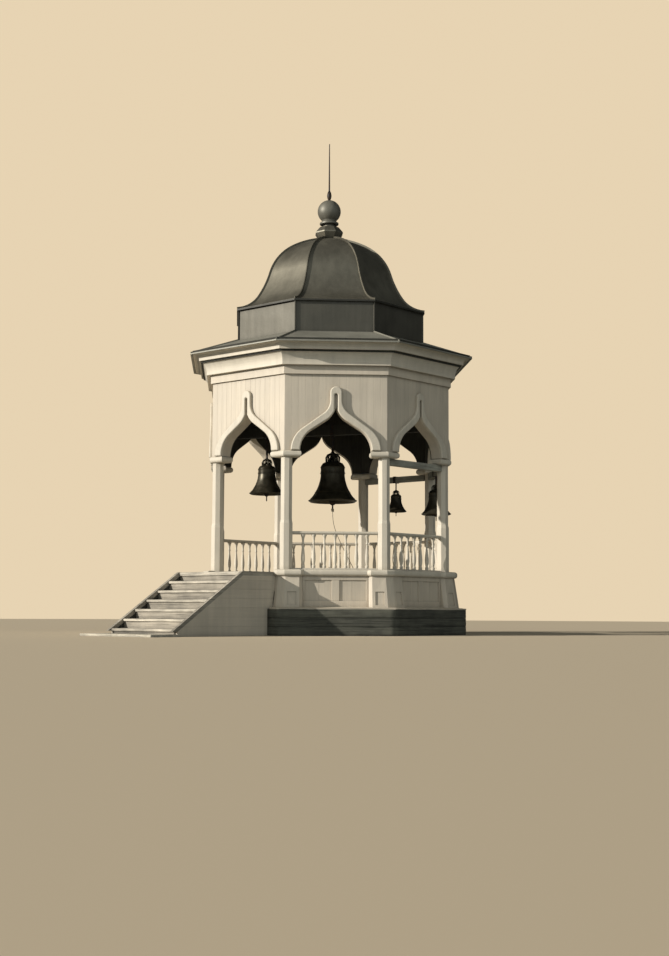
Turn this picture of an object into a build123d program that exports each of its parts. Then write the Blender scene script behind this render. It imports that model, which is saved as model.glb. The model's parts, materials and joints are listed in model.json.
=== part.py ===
from build123d import *
import os
from math import cos, radians, sin, tan

os.makedirs("parts", exist_ok=True)

# The tower stands on a regular octagon round the vertical axis; all lengths in millimetres, ground at zero
# Side 0 is the entrance and faces -Y; the other sides follow anticlockwise as seen from above
SIDES = 8
WALL_SIDE = 1900
WALL_THICKNESS = 200
LINING_THICKNESS = 20
ENTRANCE = 0
MITRE_GAP = 0.2
SEAT_GAP = 0.3

# Heights, from the ground up
COURSE_HEIGHT = 160
COURSES = 3
PEDESTAL_HEIGHT = 600
FLOOR_THICKNESS = 70
SILL_HEIGHT = 120
POST_HEIGHT = 2120
CAPITAL_HEIGHT = 120
WALL_HEIGHT = 1420
FRIEZE_HEIGHT = 160
CROWN_HEIGHT = 265
EAVE_RISE = 138
DRUM_HEIGHT = 585

# Foundation of squared timbers, cut off at the corners
TIMBER_WIDTH = 200
FOUNDATION_STEP = 125
FOUNDATION_BEVEL = 55

# Pedestal: battered corner piers with a niche, framed panels between them
PIER_PROUD = 108.5
PIER_BATTER = 88
PIER_DEPTH = 252
PIER_ARM = 345
PIER_CORNER_BEVEL = 80
PIER_END_BEVEL = 60
NICHE_WIDTH = 165
NICHE_HEIGHT = 245
NICHE_ABOVE = 75
NICHE_DEPTH = 18
PANEL_SET = 60
PANEL_THICKNESS = 60
PANEL_STILE = 110
PANEL_RECESS = 20
SILL_PROUD = 55
SILL_ROUND = 50

# Posts of eight flats, thicker below the hand rail
POST_BASE = 230
POST_SHAFT = 205
POST_BASE_HEIGHT = 900
POST_TAPER_HEIGHT = 60
CAPITAL_PROUD = 50
CAPITAL_ARM = 310
CAPITAL_ROUND = 50

# Balustrade; the turned balusters are drawn by radius, with levels as shares of their height
RAIL_TOP = 755
RAIL_HEIGHT = 60
RAIL_WIDTH = 100
FOOT_RAIL_HEIGHT = 80
FOOT_RAIL_WIDTH = 80
BALUSTERS = 8
BALUSTER_FOOT = (34, 0.08)
BALUSTER_VASE = ((23, 0.10), (38, 0.28), (28, 0.50), (17, 0.70))
BALUSTER_RING = ((26, 0.735), (19, 0.77))
BALUSTER_HEAD = (42, 0.97)

# Keel arch in each wall
ARCH_HALF_SPAN = 660
ARCH_LOW_RADIUS = 460
ARCH_LOW_TURN = 57
ARCH_HIGH_RADIUS = 430
ARCH_HIGH_TURN = 42

# Raised moulding round the arch
TRIM_WIDTH = 175
TRIM_PROUD = 65
TRIM_LOW_RADIUS = 500
TRIM_LOW_TURN = 54
TRIM_HIGH_RADIUS = 300
TRIM_TIP_HALF = 110
TRIM_TIP_RISE = 146
TRIM_ROUND = 24
SLOT_HALF = 30
SLOT_TOP = 1020

# Cornice and roof: two hollow mouldings, each above a small upright fillet
FRIEZE_PROUD = 45
CROWN_PROUD = 230
CROWN_FOOT_PROUD = 125
CROWN_FILLET = 50
SOFFIT_THICKNESS = 20
SOFFIT_REVEAL = 46.5
FASCIA_THICKNESS = 30
FASCIA_FLARE = 120
FASCIA_FILLET = 30
MOULDING_LIP = 12
ROOF_OVERHANG = 45
ROOF_THICKNESS = 22
ROOF_PITCH = 20.3
CEILING_THICKNESS = 25

# Drum and dome of sheet metal; the dome's hip line runs in arcs, radius as a share of its reach, and turn
DRUM_INSET = 496.5
DRUM_THICKNESS = 40
DOME_LIP = 51
DOME_LIP_HEIGHT = 30
DOME_THICKNESS = 30
DOME_START_SLOPE = 9
DOME_ARCS = ((0.383, -49), (1.21, -16), (0.626, 44), (1.125, 17))

# Finial: an eight-sided flared collar with a round saucer and neck, a ball and a spire
COLLAR_FOOT = 195
COLLAR_LEDGE = 8
COLLAR_RIM = 272
COLLAR_FLARE_HEIGHT = 130
COLLAR_RIM_HEIGHT = 25
COLLAR_TOP = 190
COLLAR_TAPER_HEIGHT = 105
SAUCER_RADIUS = 165
SAUCER_HEIGHT = 14
NECK_RADIUS = 115
NECK_HEIGHT = 91
BALL_RADIUS = 235
KNOB_RADIUS = 45
KNOB_FOOT = 20
KNOB_HEIGHT = 200
KNOB_WIDEST = 0.42
SPIRE_RADIUS = 17
SPIRE_TIP = 8.5
SPIRE_HEIGHT = 982

# Bell beams
MAIN_BEAM_RISE = 560
MAIN_BEAM_HEIGHT = 200
MAIN_BEAM_WIDTH = 160
MAIN_BEAM_TURN = 112.5
TIE_HEIGHT = 120
TIE_WIDTH = 120
TIE_SIDES = (2, 3, 4)

# Bells: diameter, and drop from the underside of the beam to the lip
BELL_1_DIAMETER = 968
BELL_1_DROP = 1350
BELL_1_OFFSET = 100
BELL_2_DIAMETER = 707
BELL_2_DROP = 1160
BELL_2_OFFSET = -1313
BELL_3_DIAMETER = 450
BELL_3_DROP = 620
BELL_3_SIDE = 4
BELL_4_DIAMETER = 600
BELL_4_DROP = 780
BELL_4_SIDE = 3
STRAP_THICKNESS = 10
STRAP_WIDTH = 60
STRAP_GAP = 0.3
PIN_GAP = 0.4

# Parts of a bell as shares of its diameter: points are (radius, level above the lip)
BELL_OUTSIDE = ((0.5, 0.03), (0.353, 0.221), (0.265, 0.45), (0.25, 0.72))
BELL_SHOULDER = ((0.25, 0.72), (0.21, 0.80), (0.10, 0.84))
BELL_INSIDE = ((0.455, 0), (0.31, 0.21), (0.225, 0.45), (0.21, 0.72))
BELL_CEILING = (0.17, 0.78)
LOOP_RADIUS = 0.08
LOOP_WIRE = 0.025
HEAD_RADIUS = 0.035
HEAD_LOW = 0.90
HEAD_TOP = 0.98
HANGER_ROD = 0.03
PIVOT = 0.70
PIN = 0.014
EYE = 0.036
EYE_WIDTH = 0.03
EYE_GAP = 0.004
CHEEK = 0.015
CHEEK_LOW = 0.66
CHEEK_ROOT = 0.01
CLAPPER_ROD = 0.016
BALL_LEVEL = 0.01
BALL = 0.07
TAIL = 0.19

# Bell rope from the clapper of the large bell to a ring in the floor
ROPE_DIAMETER = 14
ROPE_GAP = 0.3
ROPE_FOOT_GAP = 2.8
ROPE_TURN = 132
ROPE_ARC_SHARE = 0.45
FLOOR_RING_RADIUS = 30
FLOOR_RING_WIRE = 6
FLOOR_PLATE_RADIUS = 45
FLOOR_PLATE_THICKNESS = 6

# Stair
STAIR_INSET = 90
CHEEK_THICKNESS = 60
LANDING_DEPTH = 956.5
STEPS = 6
FIRST_RISE = 130
GOING = 267
TREAD_THICKNESS = 45
NOSING = 30
RISER_THICKNESS = 25
COPING_THICKNESS = 80
STAIR_TOE = 85
STAIR_GAP = 0.3
GROUND_BOARD_THICKNESS = 40
GROUND_BOARD_DEPTH = 633
GROUND_BOARD_OVERHANG = 60

# Values that follow from the driving sizes
TURN = 360 / SIDES
MITRE = radians(TURN / 2)
WALL_OUT = WALL_SIDE / 2 / tan(MITRE)
WALL_IN = WALL_OUT - WALL_THICKNESS
LINING_IN = WALL_IN - LINING_THICKNESS
FOUNDATION_TOP = COURSE_HEIGHT * COURSES
SILL_LEVEL = FOUNDATION_TOP + PEDESTAL_HEIGHT
FLOOR_LEVEL = SILL_LEVEL + FLOOR_THICKNESS
CAPITAL_LEVEL = FLOOR_LEVEL + POST_HEIGHT
SPRING_LEVEL = CAPITAL_LEVEL + CAPITAL_HEIGHT
FRIEZE_LEVEL = SPRING_LEVEL + WALL_HEIGHT
CEILING_LEVEL = FRIEZE_LEVEL - CEILING_THICKNESS
CROWN_LEVEL = FRIEZE_LEVEL + FRIEZE_HEIGHT
SOFFIT_LEVEL = CROWN_LEVEL + CROWN_HEIGHT
EAVE_LEVEL = SOFFIT_LEVEL + EAVE_RISE
PIER_TOP_OUT = WALL_OUT + PIER_PROUD
PANEL_OUT = PIER_TOP_OUT - PANEL_SET
CAP_OUT = PIER_TOP_OUT + SILL_PROUD
SILL_OUT = PANEL_OUT + SILL_PROUD
CAP_ARM = PIER_ARM + SILL_PROUD / 2
FOUNDATION_OUT = PIER_TOP_OUT + PIER_BATTER + FOUNDATION_STEP
POST_AXIS = (WALL_OUT - POST_BASE / 2) / cos(MITRE)
POST_ALONG = POST_AXIS * sin(MITRE)
RAIL_LINE = WALL_OUT - POST_BASE / 2
FASCIA_OUT = WALL_OUT + CROWN_PROUD + SOFFIT_REVEAL
ROOF_OUT = FASCIA_OUT + FASCIA_FLARE + ROOF_OVERHANG
DRUM_OUT = WALL_OUT - DRUM_INSET
MAIN_BEAM_LEVEL = SPRING_LEVEL + MAIN_BEAM_RISE
TIE_LEVEL = CAPITAL_LEVEL - TIE_HEIGHT
RISE = (FLOOR_LEVEL - FIRST_RISE) / STEPS
STAIR_HALF_WIDTH = WALL_SIDE / 2 - STAIR_INSET
LANDING_OUT = WALL_OUT + LANDING_DEPTH
LAST_RISER_OUT = LANDING_OUT + GOING * STEPS - NOSING
GROUND_BOARD_OUT = LAST_RISER_OUT + GROUND_BOARD_DEPTH
# Long enough to run or cut through the whole tower
REACH = ROOF_OUT * 1.5
TALL = REACH * 3
# Shapes are drawn round the tower's axis and stored with the middle of their overall box at the origin
AXIS_SHIFT = (GROUND_BOARD_OUT - ROOF_OUT) / 2


def along_side(shape, side):
    return Rot(0, 0, side * TURN) * shape


def around(piece, sides=range(SIDES)):
    return Compound([along_side(piece, side) for side in sides])


def wedge(gap):
    half = REACH * tan(MITRE)
    back = gap / sin(MITRE)
    plan = make_face(Polyline((0, -back), (half, -REACH - back), (-half, -REACH - back), close=True))
    return Pos(0, 0, -TALL / 2) * extrude(plan, TALL * 2)


def mitred(section, gap=MITRE_GAP):
    # a section drawn as (-distance from the axis, level) runs the whole side between its mitres
    return extrude(Plane.YZ * section, REACH / 2, both=True) & wedge(gap)


def side_run(points, gap=MITRE_GAP):
    # points are (distance from the axis, level)
    return mitred(make_face(Polyline(*[(-out, level) for out, level in points], close=True)), gap)


def slab(low, high, bottom, top):
    return ((low, bottom), (high, bottom), (high, top), (low, top))


def corner_piece(points, arm):
    # two arms that meet on a mitre, at the corner between side 0 and side 1
    run = side_run(points, 0)
    start = WALL_SIDE / 2 - arm
    beyond = Pos(start + REACH / 2, 0, 0) * Box(REACH, REACH * 3, TALL * 3)
    right_arm = run & beyond
    left_arm = mirror(right_arm, Plane.YZ)
    return right_arm + along_side(left_arm, 1)


def from_axis(edge):
    centre = edge.center()
    return (centre.X ** 2 + centre.Y ** 2) ** 0.5


def rises(edge):
    return abs(edge.tangent_at(0).Z) > 0.5


def bevelled(piece):
    # a corner piece with its outer corner and the outer edges of its two ends cut off
    standing = sorted(piece.edges().filter_by(rises), key=from_axis)
    piece = chamfer(standing[-3:-1], PIER_END_BEVEL)
    corner = max(piece.edges().filter_by(rises), key=from_axis)
    return chamfer(corner, PIER_CORNER_BEVEL)


def octagon(out, bottom, top):
    plan = RegularPolygon(out / cos(MITRE), SIDES, rotation=TURN / 2)
    return Pos(0, 0, bottom) * extrude(plan, top - bottom)


def roof_under(out):
    return roof_top(out) - ROOF_THICKNESS


def roof_top(out):
    return EAVE_LEVEL + (ROOF_OUT - out) * tan(radians(ROOF_PITCH))


# Foundation courses of squared timbers
def foundation_course(number):
    bottom = number * COURSE_HEIGHT
    top = bottom + COURSE_HEIGHT
    timber = side_run(slab(FOUNDATION_OUT - TIMBER_WIDTH, FOUNDATION_OUT, bottom, top))
    cut_at = FOUNDATION_OUT / cos(MITRE) - FOUNDATION_BEVEL * sin(MITRE)
    return around(timber & Rot(0, 0, TURN / 2) * octagon(cut_at, bottom, top))


# Pedestal
def pier_out(level):
    return PIER_TOP_OUT + PIER_BATTER * (SILL_LEVEL - level) / PEDESTAL_HEIGHT


def pedestal_pier():
    back = PIER_TOP_OUT - PIER_DEPTH
    points = (
        (back, FOUNDATION_TOP),
        (pier_out(FOUNDATION_TOP), FOUNDATION_TOP),
        (PIER_TOP_OUT, SILL_LEVEL),
        (back, SILL_LEVEL),
    )
    niche = pier_niche()
    return bevelled(corner_piece(points, PIER_ARM)) - niche - along_side(mirror(niche, Plane.YZ), 1)


def pier_niche():
    bottom = FOUNDATION_TOP + NICHE_ABOVE
    top = bottom + NICHE_HEIGHT
    points = (
        (pier_out(bottom) - NICHE_DEPTH, bottom),
        (pier_out(bottom) + NICHE_DEPTH, bottom),
        (pier_out(top) + NICHE_DEPTH, top),
        (pier_out(top) - NICHE_DEPTH, top),
    )
    face_start = WALL_SIDE / 2 - PIER_ARM + PIER_END_BEVEL
    face_end = pier_out((bottom + top) / 2) * tan(MITRE) - PIER_CORNER_BEVEL
    return side_run(points, 0) & Pos((face_start + face_end) / 2, 0, 0) * Box(NICHE_WIDTH, REACH * 3, TALL * 2)


def pedestal_panel():
    run = side_run(slab(PANEL_OUT - PANEL_THICKNESS, PANEL_OUT, FOUNDATION_TOP, SILL_LEVEL))
    half = WALL_SIDE / 2 - PIER_ARM - SEAT_GAP
    middle = (FOUNDATION_TOP + SILL_LEVEL) / 2
    panel = run & Pos(0, -PANEL_OUT, middle) * Box(half * 2, PANEL_THICKNESS * 3, PEDESTAL_HEIGHT * 2)
    field_width = (half * 2 - PANEL_STILE * 3) / 2
    field_height = PEDESTAL_HEIGHT - PANEL_STILE * 2
    for hand in (-1, 1):
        middle_along = hand * (PANEL_STILE + field_width) / 2
        panel -= Pos(middle_along, -PANEL_OUT, middle) * Box(field_width, PANEL_RECESS * 2, field_height)
    return panel


def sill_board():
    run = side_run(slab(WALL_OUT, SILL_OUT, SILL_LEVEL, SILL_LEVEL + SILL_HEIGHT))
    board = run & Box((WALL_SIDE / 2 - CAP_ARM - SEAT_GAP) * 2, REACH * 3, TALL)
    outer = board.edges().filter_by(Axis.X).group_by(Axis.Y)[0]
    return fillet(outer, SILL_ROUND)


def pier_cap():
    # the sill breaks forward over each pier and follows its bevelled corners
    cap = bevelled(corner_piece(slab(WALL_OUT, CAP_OUT, SILL_LEVEL, SILL_LEVEL + SILL_HEIGHT), CAP_ARM))
    inner_corner = WALL_OUT / cos(MITRE)
    outer = [edge for edge in cap.edges() if not rises(edge) and from_axis(edge) > inner_corner]
    return fillet(outer, SILL_ROUND)


def pedestal_sill():
    doorway = Pos(0, -REACH, 0) * Box((STAIR_HALF_WIDTH + STAIR_GAP) * 2, REACH * 2, TALL)
    pieces = [along_side(sill_board(), side) for side in range(SIDES) if side != ENTRANCE]
    cap = pier_cap()
    for side in range(SIDES):
        pieces += list((along_side(cap, side) - doorway).solids())
    return Compound(pieces)


def floor():
    return octagon(WALL_OUT - MITRE_GAP, SILL_LEVEL, FLOOR_LEVEL)


# Posts and capitals
def post():
    def flats(across):
        return RegularPolygon(across / 2 / cos(MITRE), SIDES, rotation=TURN / 2)

    base = extrude(flats(POST_BASE), POST_BASE_HEIGHT)
    shoulder = loft([Pos(0, 0, POST_BASE_HEIGHT) * flats(POST_BASE),
                     Pos(0, 0, POST_BASE_HEIGHT + POST_TAPER_HEIGHT) * flats(POST_SHAFT)])
    shaft_height = POST_HEIGHT - POST_BASE_HEIGHT - POST_TAPER_HEIGHT
    shaft = Pos(0, 0, POST_BASE_HEIGHT + POST_TAPER_HEIGHT) * extrude(flats(POST_SHAFT), shaft_height)
    column = base + shoulder + shaft
    return Rot(0, 0, TURN / 2) * (Pos(0, -POST_AXIS, FLOOR_LEVEL) * (Rot(0, 0, TURN / 2) * column))


def capital():
    low = WALL_IN - CAPITAL_PROUD
    high = WALL_OUT + CAPITAL_PROUD
    piece = corner_piece(slab(low, high, CAPITAL_LEVEL, SPRING_LEVEL), CAPITAL_ARM)
    level_edges = [edge for edge in piece.edges() if not rises(edge)]
    return fillet([edge for edge in level_edges if from_axis(edge) > WALL_IN], CAPITAL_ROUND)


# Balustrade with turned balusters
def baluster(bottom, top):
    def at(point):
        radius, share = point
        return (radius, bottom + (top - bottom) * share)

    foot_radius, foot_share = BALUSTER_FOOT
    vase = [at(point) for point in BALUSTER_VASE]
    ring, ring_end = [at(point) for point in BALUSTER_RING]
    head = at(BALUSTER_HEAD)
    outline = make_face([
        Line((0, bottom), (foot_radius, bottom)),
        Line((foot_radius, bottom), at(BALUSTER_FOOT)),
        Line(at(BALUSTER_FOOT), vase[0]),
        Spline(*vase),
        ThreePointArc(vase[-1], ring, ring_end),
        TangentArc(ring_end, head, tangent=(0, 1)),
        Line(head, (head[0], top)),
        Line((head[0], top), (0, top)),
        Line((0, top), (0, bottom)),
    ])
    return revolve(Plane.XZ * outline, Axis.Z)


def balustrade():
    half = POST_ALONG - POST_BASE / 2
    top = FLOOR_LEVEL + RAIL_TOP
    rail_bottom = top - RAIL_HEIGHT
    foot_top = FLOOR_LEVEL + FOOT_RAIL_HEIGHT
    panel = Pos(0, -RAIL_LINE, top - RAIL_HEIGHT / 2) * Box(half * 2, RAIL_WIDTH, RAIL_HEIGHT)
    panel += Pos(0, -RAIL_LINE, foot_top - FOOT_RAIL_HEIGHT / 2) * Box(half * 2, FOOT_RAIL_WIDTH, FOOT_RAIL_HEIGHT)
    step = half * 2 / BALUSTERS
    turned = baluster(foot_top, rail_bottom)
    for number in range(BALUSTERS):
        panel += Pos(-half + step * (number + 0.5), -RAIL_LINE, 0) * turned
    return panel


# Walls with keel arches
def arch_half():
    low = JernArc((ARCH_HALF_SPAN, 0), (0, 1), ARCH_LOW_RADIUS, ARCH_LOW_TURN)
    slope = radians(90 - ARCH_LOW_TURN)
    steep = slope + radians(ARCH_HIGH_TURN)
    left_over = (low @ 1).X - ARCH_HIGH_RADIUS * (sin(steep) - sin(slope))
    middle = PolarLine(low @ 1, left_over / cos(slope), direction=low % 1)
    high = JernArc(middle @ 1, middle % 1, ARCH_HIGH_RADIUS, -ARCH_HIGH_TURN)
    return [low, middle, high]


def closed_by_mirror(half_curves):
    whole = Curve() + half_curves
    whole = whole + mirror(whole, Plane.YZ)
    first = half_curves[0] @ 0
    return make_face(whole + Line((-first.X, first.Y), (first.X, first.Y)))


def arch_opening():
    return closed_by_mirror(arch_half())


def on_wall(face, out, depth):
    # an elevation drawn from the springing line, set on a vertical plane of the entrance side
    return extrude(Pos(0, -out, SPRING_LEVEL) * (Plane.XZ * face), depth)


def arch_wall():
    points = (
        (WALL_IN, SPRING_LEVEL),
        (WALL_OUT, SPRING_LEVEL),
        (WALL_OUT, roof_under(WALL_OUT)),
        (WALL_IN, roof_under(WALL_IN)),
    )
    return side_run(points) - on_wall(arch_opening(), 0, REACH)


def lining():
    run = side_run(slab(LINING_IN, WALL_IN, SPRING_LEVEL, CEILING_LEVEL))
    return run - on_wall(arch_opening(), 0, REACH)


def arch_moulding():
    start = ARCH_HALF_SPAN + TRIM_WIDTH
    low = JernArc((start, 0), (0, 1), TRIM_LOW_RADIUS, TRIM_LOW_TURN)
    slope = radians(90 - TRIM_LOW_TURN)
    left_over = (low @ 1).X - TRIM_TIP_HALF - TRIM_HIGH_RADIUS * (1 - sin(slope))
    middle = PolarLine(low @ 1, left_over / cos(slope), direction=low % 1)
    high = JernArc(middle @ 1, middle % 1, TRIM_HIGH_RADIUS, -TRIM_LOW_TURN)
    neck = PolarLine(high @ 1, TRIM_TIP_RISE, direction=(0, 1))
    tip = JernArc(neck @ 1, (0, 1), TRIM_TIP_HALF, 90)
    outline = closed_by_mirror([low, middle, high, neck, tip])
    slot = Pos(0, SLOT_TOP / 2) * Rectangle(SLOT_HALF * 2, SLOT_TOP)
    slot = slot + Pos(0, SLOT_TOP) * Circle(SLOT_HALF)
    band = outline - arch_opening() - slot
    solid = on_wall(band, WALL_OUT, TRIM_PROUD)
    front = solid.edges().group_by(Axis.Y)[0]
    return fillet(front, TRIM_ROUND)


# Cornice
def hollow_moulding(foot, rim, back, bottom, fillet_height, rim_top, back_top):
    # an upright fillet, a hollow that leans out to the rim, and a lip
    fillet_top = (-foot, bottom + fillet_height)
    hollow_top = (-rim, rim_top - MOULDING_LIP)
    return mitred(make_face([
        Line((-back, bottom), (-foot, bottom)),
        Line((-foot, bottom), fillet_top),
        TangentArc(fillet_top, hollow_top, tangent=(0, 1)),
        Line(hollow_top, (-rim, rim_top)),
        Line((-rim, rim_top), (-back, back_top)),
        Line((-back, back_top), (-back, bottom)),
    ]))


def crown():
    foot = WALL_OUT + CROWN_FOOT_PROUD
    rim = WALL_OUT + CROWN_PROUD
    back = WALL_OUT + FRIEZE_PROUD
    return hollow_moulding(foot, rim, back, CROWN_LEVEL, CROWN_FILLET, SOFFIT_LEVEL, SOFFIT_LEVEL)


def fascia():
    rim = FASCIA_OUT + FASCIA_FLARE
    back = FASCIA_OUT - FASCIA_THICKNESS
    return hollow_moulding(FASCIA_OUT, rim, back, SOFFIT_LEVEL, FASCIA_FILLET, roof_under(rim), roof_under(back))


def roof_slope():
    low = DRUM_OUT - DRUM_THICKNESS
    return ((low, roof_under(low)), (ROOF_OUT, roof_under(ROOF_OUT)), (ROOF_OUT, roof_top(ROOF_OUT)), (low, roof_top(low)))


# Drum and dome
def drum_top():
    return roof_top(DRUM_OUT) + DRUM_HEIGHT


def drum():
    low = DRUM_OUT - DRUM_THICKNESS
    return ((low, roof_top(low)), (DRUM_OUT, roof_top(DRUM_OUT)), (DRUM_OUT, drum_top()), (low, drum_top()))


def dome_reach():
    # how far inwards the hip line leads from the lip, and how far its arcs would lead at unit size
    slope = radians(DOME_START_SLOPE)
    unit = 0
    for share, turn in DOME_ARCS:
        after = slope - radians(turn)
        unit += share * abs(sin(after) - sin(slope))
        slope = after
    return DRUM_OUT + DOME_LIP - COLLAR_FOOT - COLLAR_LEDGE, unit


def dome_curve(inset):
    # the hip line as tangent arcs from the lip to the collar; inset draws the line inwards by that much
    reach, unit = dome_reach()
    slope = radians(DOME_START_SLOPE)
    start = (-(DRUM_OUT + DOME_LIP) + inset * sin(slope), drum_top() + DOME_LIP_HEIGHT - inset * cos(slope))
    heading = (cos(slope), sin(slope))
    arcs = []
    for share, turn in DOME_ARCS:
        radius = share * reach / unit
        grown = radius + inset if turn < 0 else radius - inset
        arc = JernArc(start, heading, grown, -turn)
        arcs.append(arc)
        start = arc @ 1
        heading = arc % 1
    return arcs


def dome():
    outer = dome_curve(0)
    inner = dome_curve(DOME_THICKNESS)
    top = Line(outer[-1] @ 1, inner[-1] @ 1)
    lip = Line(outer[0] @ 0, inner[0] @ 0)
    gore = mitred(make_face(outer + inner + [top, lip]), 0)
    shell = gore
    for side in range(1, SIDES):
        shell += along_side(gore, side)
    rim = octagon(DRUM_OUT + DOME_LIP, drum_top(), drum_top() + DOME_LIP_HEIGHT)
    rim -= octagon(DRUM_OUT - DRUM_THICKNESS, drum_top() - 1, drum_top() + DOME_LIP_HEIGHT + 1)
    cap = octagon(-(outer[-1] @ 1).X, dome_top() - DOME_THICKNESS, dome_top())
    return shell + rim + cap


def dome_top():
    return (dome_curve(0)[-1] @ 1).Y


# Finial
def saucer_level():
    return dome_top() + COLLAR_FLARE_HEIGHT + COLLAR_RIM_HEIGHT + COLLAR_TAPER_HEIGHT


def ball_centre():
    return saucer_level() + SAUCER_HEIGHT + NECK_HEIGHT + BALL_RADIUS


def finial_collar():
    flare_top = dome_top() + COLLAR_FLARE_HEIGHT
    rim_top = flare_top + COLLAR_RIM_HEIGHT
    sections = ((COLLAR_FOOT, dome_top()), (COLLAR_RIM, flare_top), (COLLAR_RIM, rim_top), (COLLAR_TOP, saucer_level()))
    flared = loft([Pos(0, 0, level) * RegularPolygon(out / cos(MITRE), SIDES, rotation=TURN / 2)
                   for out, level in sections], ruled=True)
    neck_top = ball_centre() - (BALL_RADIUS ** 2 - NECK_RADIUS ** 2) ** 0.5
    neck_bottom = saucer_level() + SAUCER_HEIGHT
    saucer = Pos(0, 0, saucer_level() + SAUCER_HEIGHT / 2) * Cylinder(SAUCER_RADIUS, SAUCER_HEIGHT)
    neck = Pos(0, 0, (neck_bottom + neck_top) / 2) * Cylinder(NECK_RADIUS, neck_top - neck_bottom)
    seat = Pos(0, 0, ball_centre()) * Sphere(BALL_RADIUS + SEAT_GAP)
    return flared + saucer + neck - seat


def finial_ball():
    return Pos(0, 0, ball_centre()) * Sphere(BALL_RADIUS)


def spire():
    foot = ball_centre() + BALL_RADIUS + SEAT_GAP
    knob_top = foot + KNOB_HEIGHT
    outline = make_face([
        Line((0, foot), (KNOB_FOOT, foot)),
        Spline((KNOB_FOOT, foot), (KNOB_RADIUS, foot + KNOB_HEIGHT * KNOB_WIDEST), (SPIRE_RADIUS, knob_top)),
        Line((SPIRE_RADIUS, knob_top), (SPIRE_TIP, knob_top + SPIRE_HEIGHT)),
        Line((SPIRE_TIP, knob_top + SPIRE_HEIGHT), (0, knob_top + SPIRE_HEIGHT)),
        Line((0, knob_top + SPIRE_HEIGHT), (0, foot)),
    ])
    return revolve(Plane.XZ * outline, Axis.Z)


# Beams that carry the bells
def main_beam():
    level = MAIN_BEAM_LEVEL + MAIN_BEAM_HEIGHT / 2
    beam = Pos(0, 0, level) * Box(MAIN_BEAM_WIDTH, REACH * 2, MAIN_BEAM_HEIGHT)
    beam = Rot(0, 0, MAIN_BEAM_TURN) * beam
    return beam & octagon(LINING_IN, MAIN_BEAM_LEVEL - 1, MAIN_BEAM_LEVEL + MAIN_BEAM_HEIGHT + 1)


def tie_beam():
    half = POST_ALONG - POST_SHAFT / 2
    return Pos(0, -RAIL_LINE, TIE_LEVEL + TIE_HEIGHT / 2) * Box(half * 2, TIE_WIDTH, TIE_HEIGHT)


# Bells, drawn with the lip at level zero
def bell_shell(size):
    def scaled(points):
        return [(radius * size, level * size) for radius, level in points]

    outside = scaled(BELL_OUTSIDE)
    shoulder = scaled(BELL_SHOULDER)
    inside = scaled(BELL_INSIDE)
    ceiling = (BELL_CEILING[0] * size, BELL_CEILING[1] * size)
    face = make_face([
        Spline(*outside),
        ThreePointArc(*shoulder),
        Line(shoulder[-1], (0, shoulder[-1][1])),
        Line((0, shoulder[-1][1]), (0, ceiling[1])),
        Line((0, ceiling[1]), ceiling),
        Line(ceiling, inside[-1]),
        Spline(*inside),
        Line(inside[0], outside[0]),
    ])
    return revolve(Plane.XZ * face, Axis.Z)


def bell(size):
    body = bell_shell(size)
    cheek_inside = (EYE_WIDTH / 2 + EYE_GAP) * size
    cheek_top = BELL_CEILING[1] + CHEEK_ROOT
    for hand in (-1, 1):
        cheek = Box(CHEEK * size, EYE * 2 * size, (cheek_top - CHEEK_LOW) * size)
        body += Pos(hand * (cheek_inside + CHEEK * size / 2), 0, (cheek_top + CHEEK_LOW) / 2 * size) * cheek
    pin = Rot(0, 90, 0) * Cylinder(PIN * size, cheek_inside * 2)
    body += Pos(0, 0, PIVOT * size) * pin
    crown_level = BELL_SHOULDER[-1][1] * size
    for turn in (0, 90):
        half_ring = Plane.XZ * CenterArc((0, 0), LOOP_RADIUS * size, 0, 180)
        arc = Rot(0, 0, turn) * (Pos(0, 0, crown_level) * half_ring)
        section = Plane(arc @ 0, z_dir=arc % 0) * Circle(LOOP_WIRE * size)
        body += sweep(section, arc)
    head_middle = (HEAD_LOW + HEAD_TOP) / 2 * size
    return body + Pos(0, 0, head_middle) * Cylinder(HEAD_RADIUS * size, (HEAD_TOP - HEAD_LOW) * size)


def clapper(size):
    eye = Rot(0, 90, 0) * Cylinder(EYE * size, EYE_WIDTH * size)
    eye -= Rot(0, 90, 0) * Cylinder(PIN * size + PIN_GAP, EYE_WIDTH * size * 2)
    eye = Pos(0, 0, PIVOT * size) * eye
    top = (PIVOT - (EYE + PIN) / 2) * size
    bottom = -TAIL * size
    rod = Pos(0, 0, (top + bottom) / 2) * Cylinder(CLAPPER_ROD * size, top - bottom)
    ball = Pos(0, 0, BALL_LEVEL * size) * Sphere(BALL * size)
    return eye + rod + ball


def hanger(size, drop, beam_bottom, beam_height, beam_width):
    # an iron stirrup round the beam with a rod down to the crown of the bell; the beam runs along Y
    high = beam_height + STRAP_GAP * 2 + STRAP_THICKNESS * 2
    wide = beam_width + STRAP_GAP * 2 + STRAP_THICKNESS * 2
    middle = beam_bottom + beam_height / 2
    stirrup = Pos(0, 0, middle) * Box(wide, STRAP_WIDTH, high)
    stirrup -= Pos(0, 0, middle) * Box(beam_width + STRAP_GAP * 2, STRAP_WIDTH * 2, beam_height + STRAP_GAP * 2)
    rod_top = beam_bottom - STRAP_GAP - STRAP_THICKNESS
    rod_bottom = beam_bottom - drop + HEAD_TOP * size
    rod = Pos(0, 0, (rod_top + rod_bottom) / 2) * Cylinder(HANGER_ROD * size, rod_top - rod_bottom)
    return stirrup + rod


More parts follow.
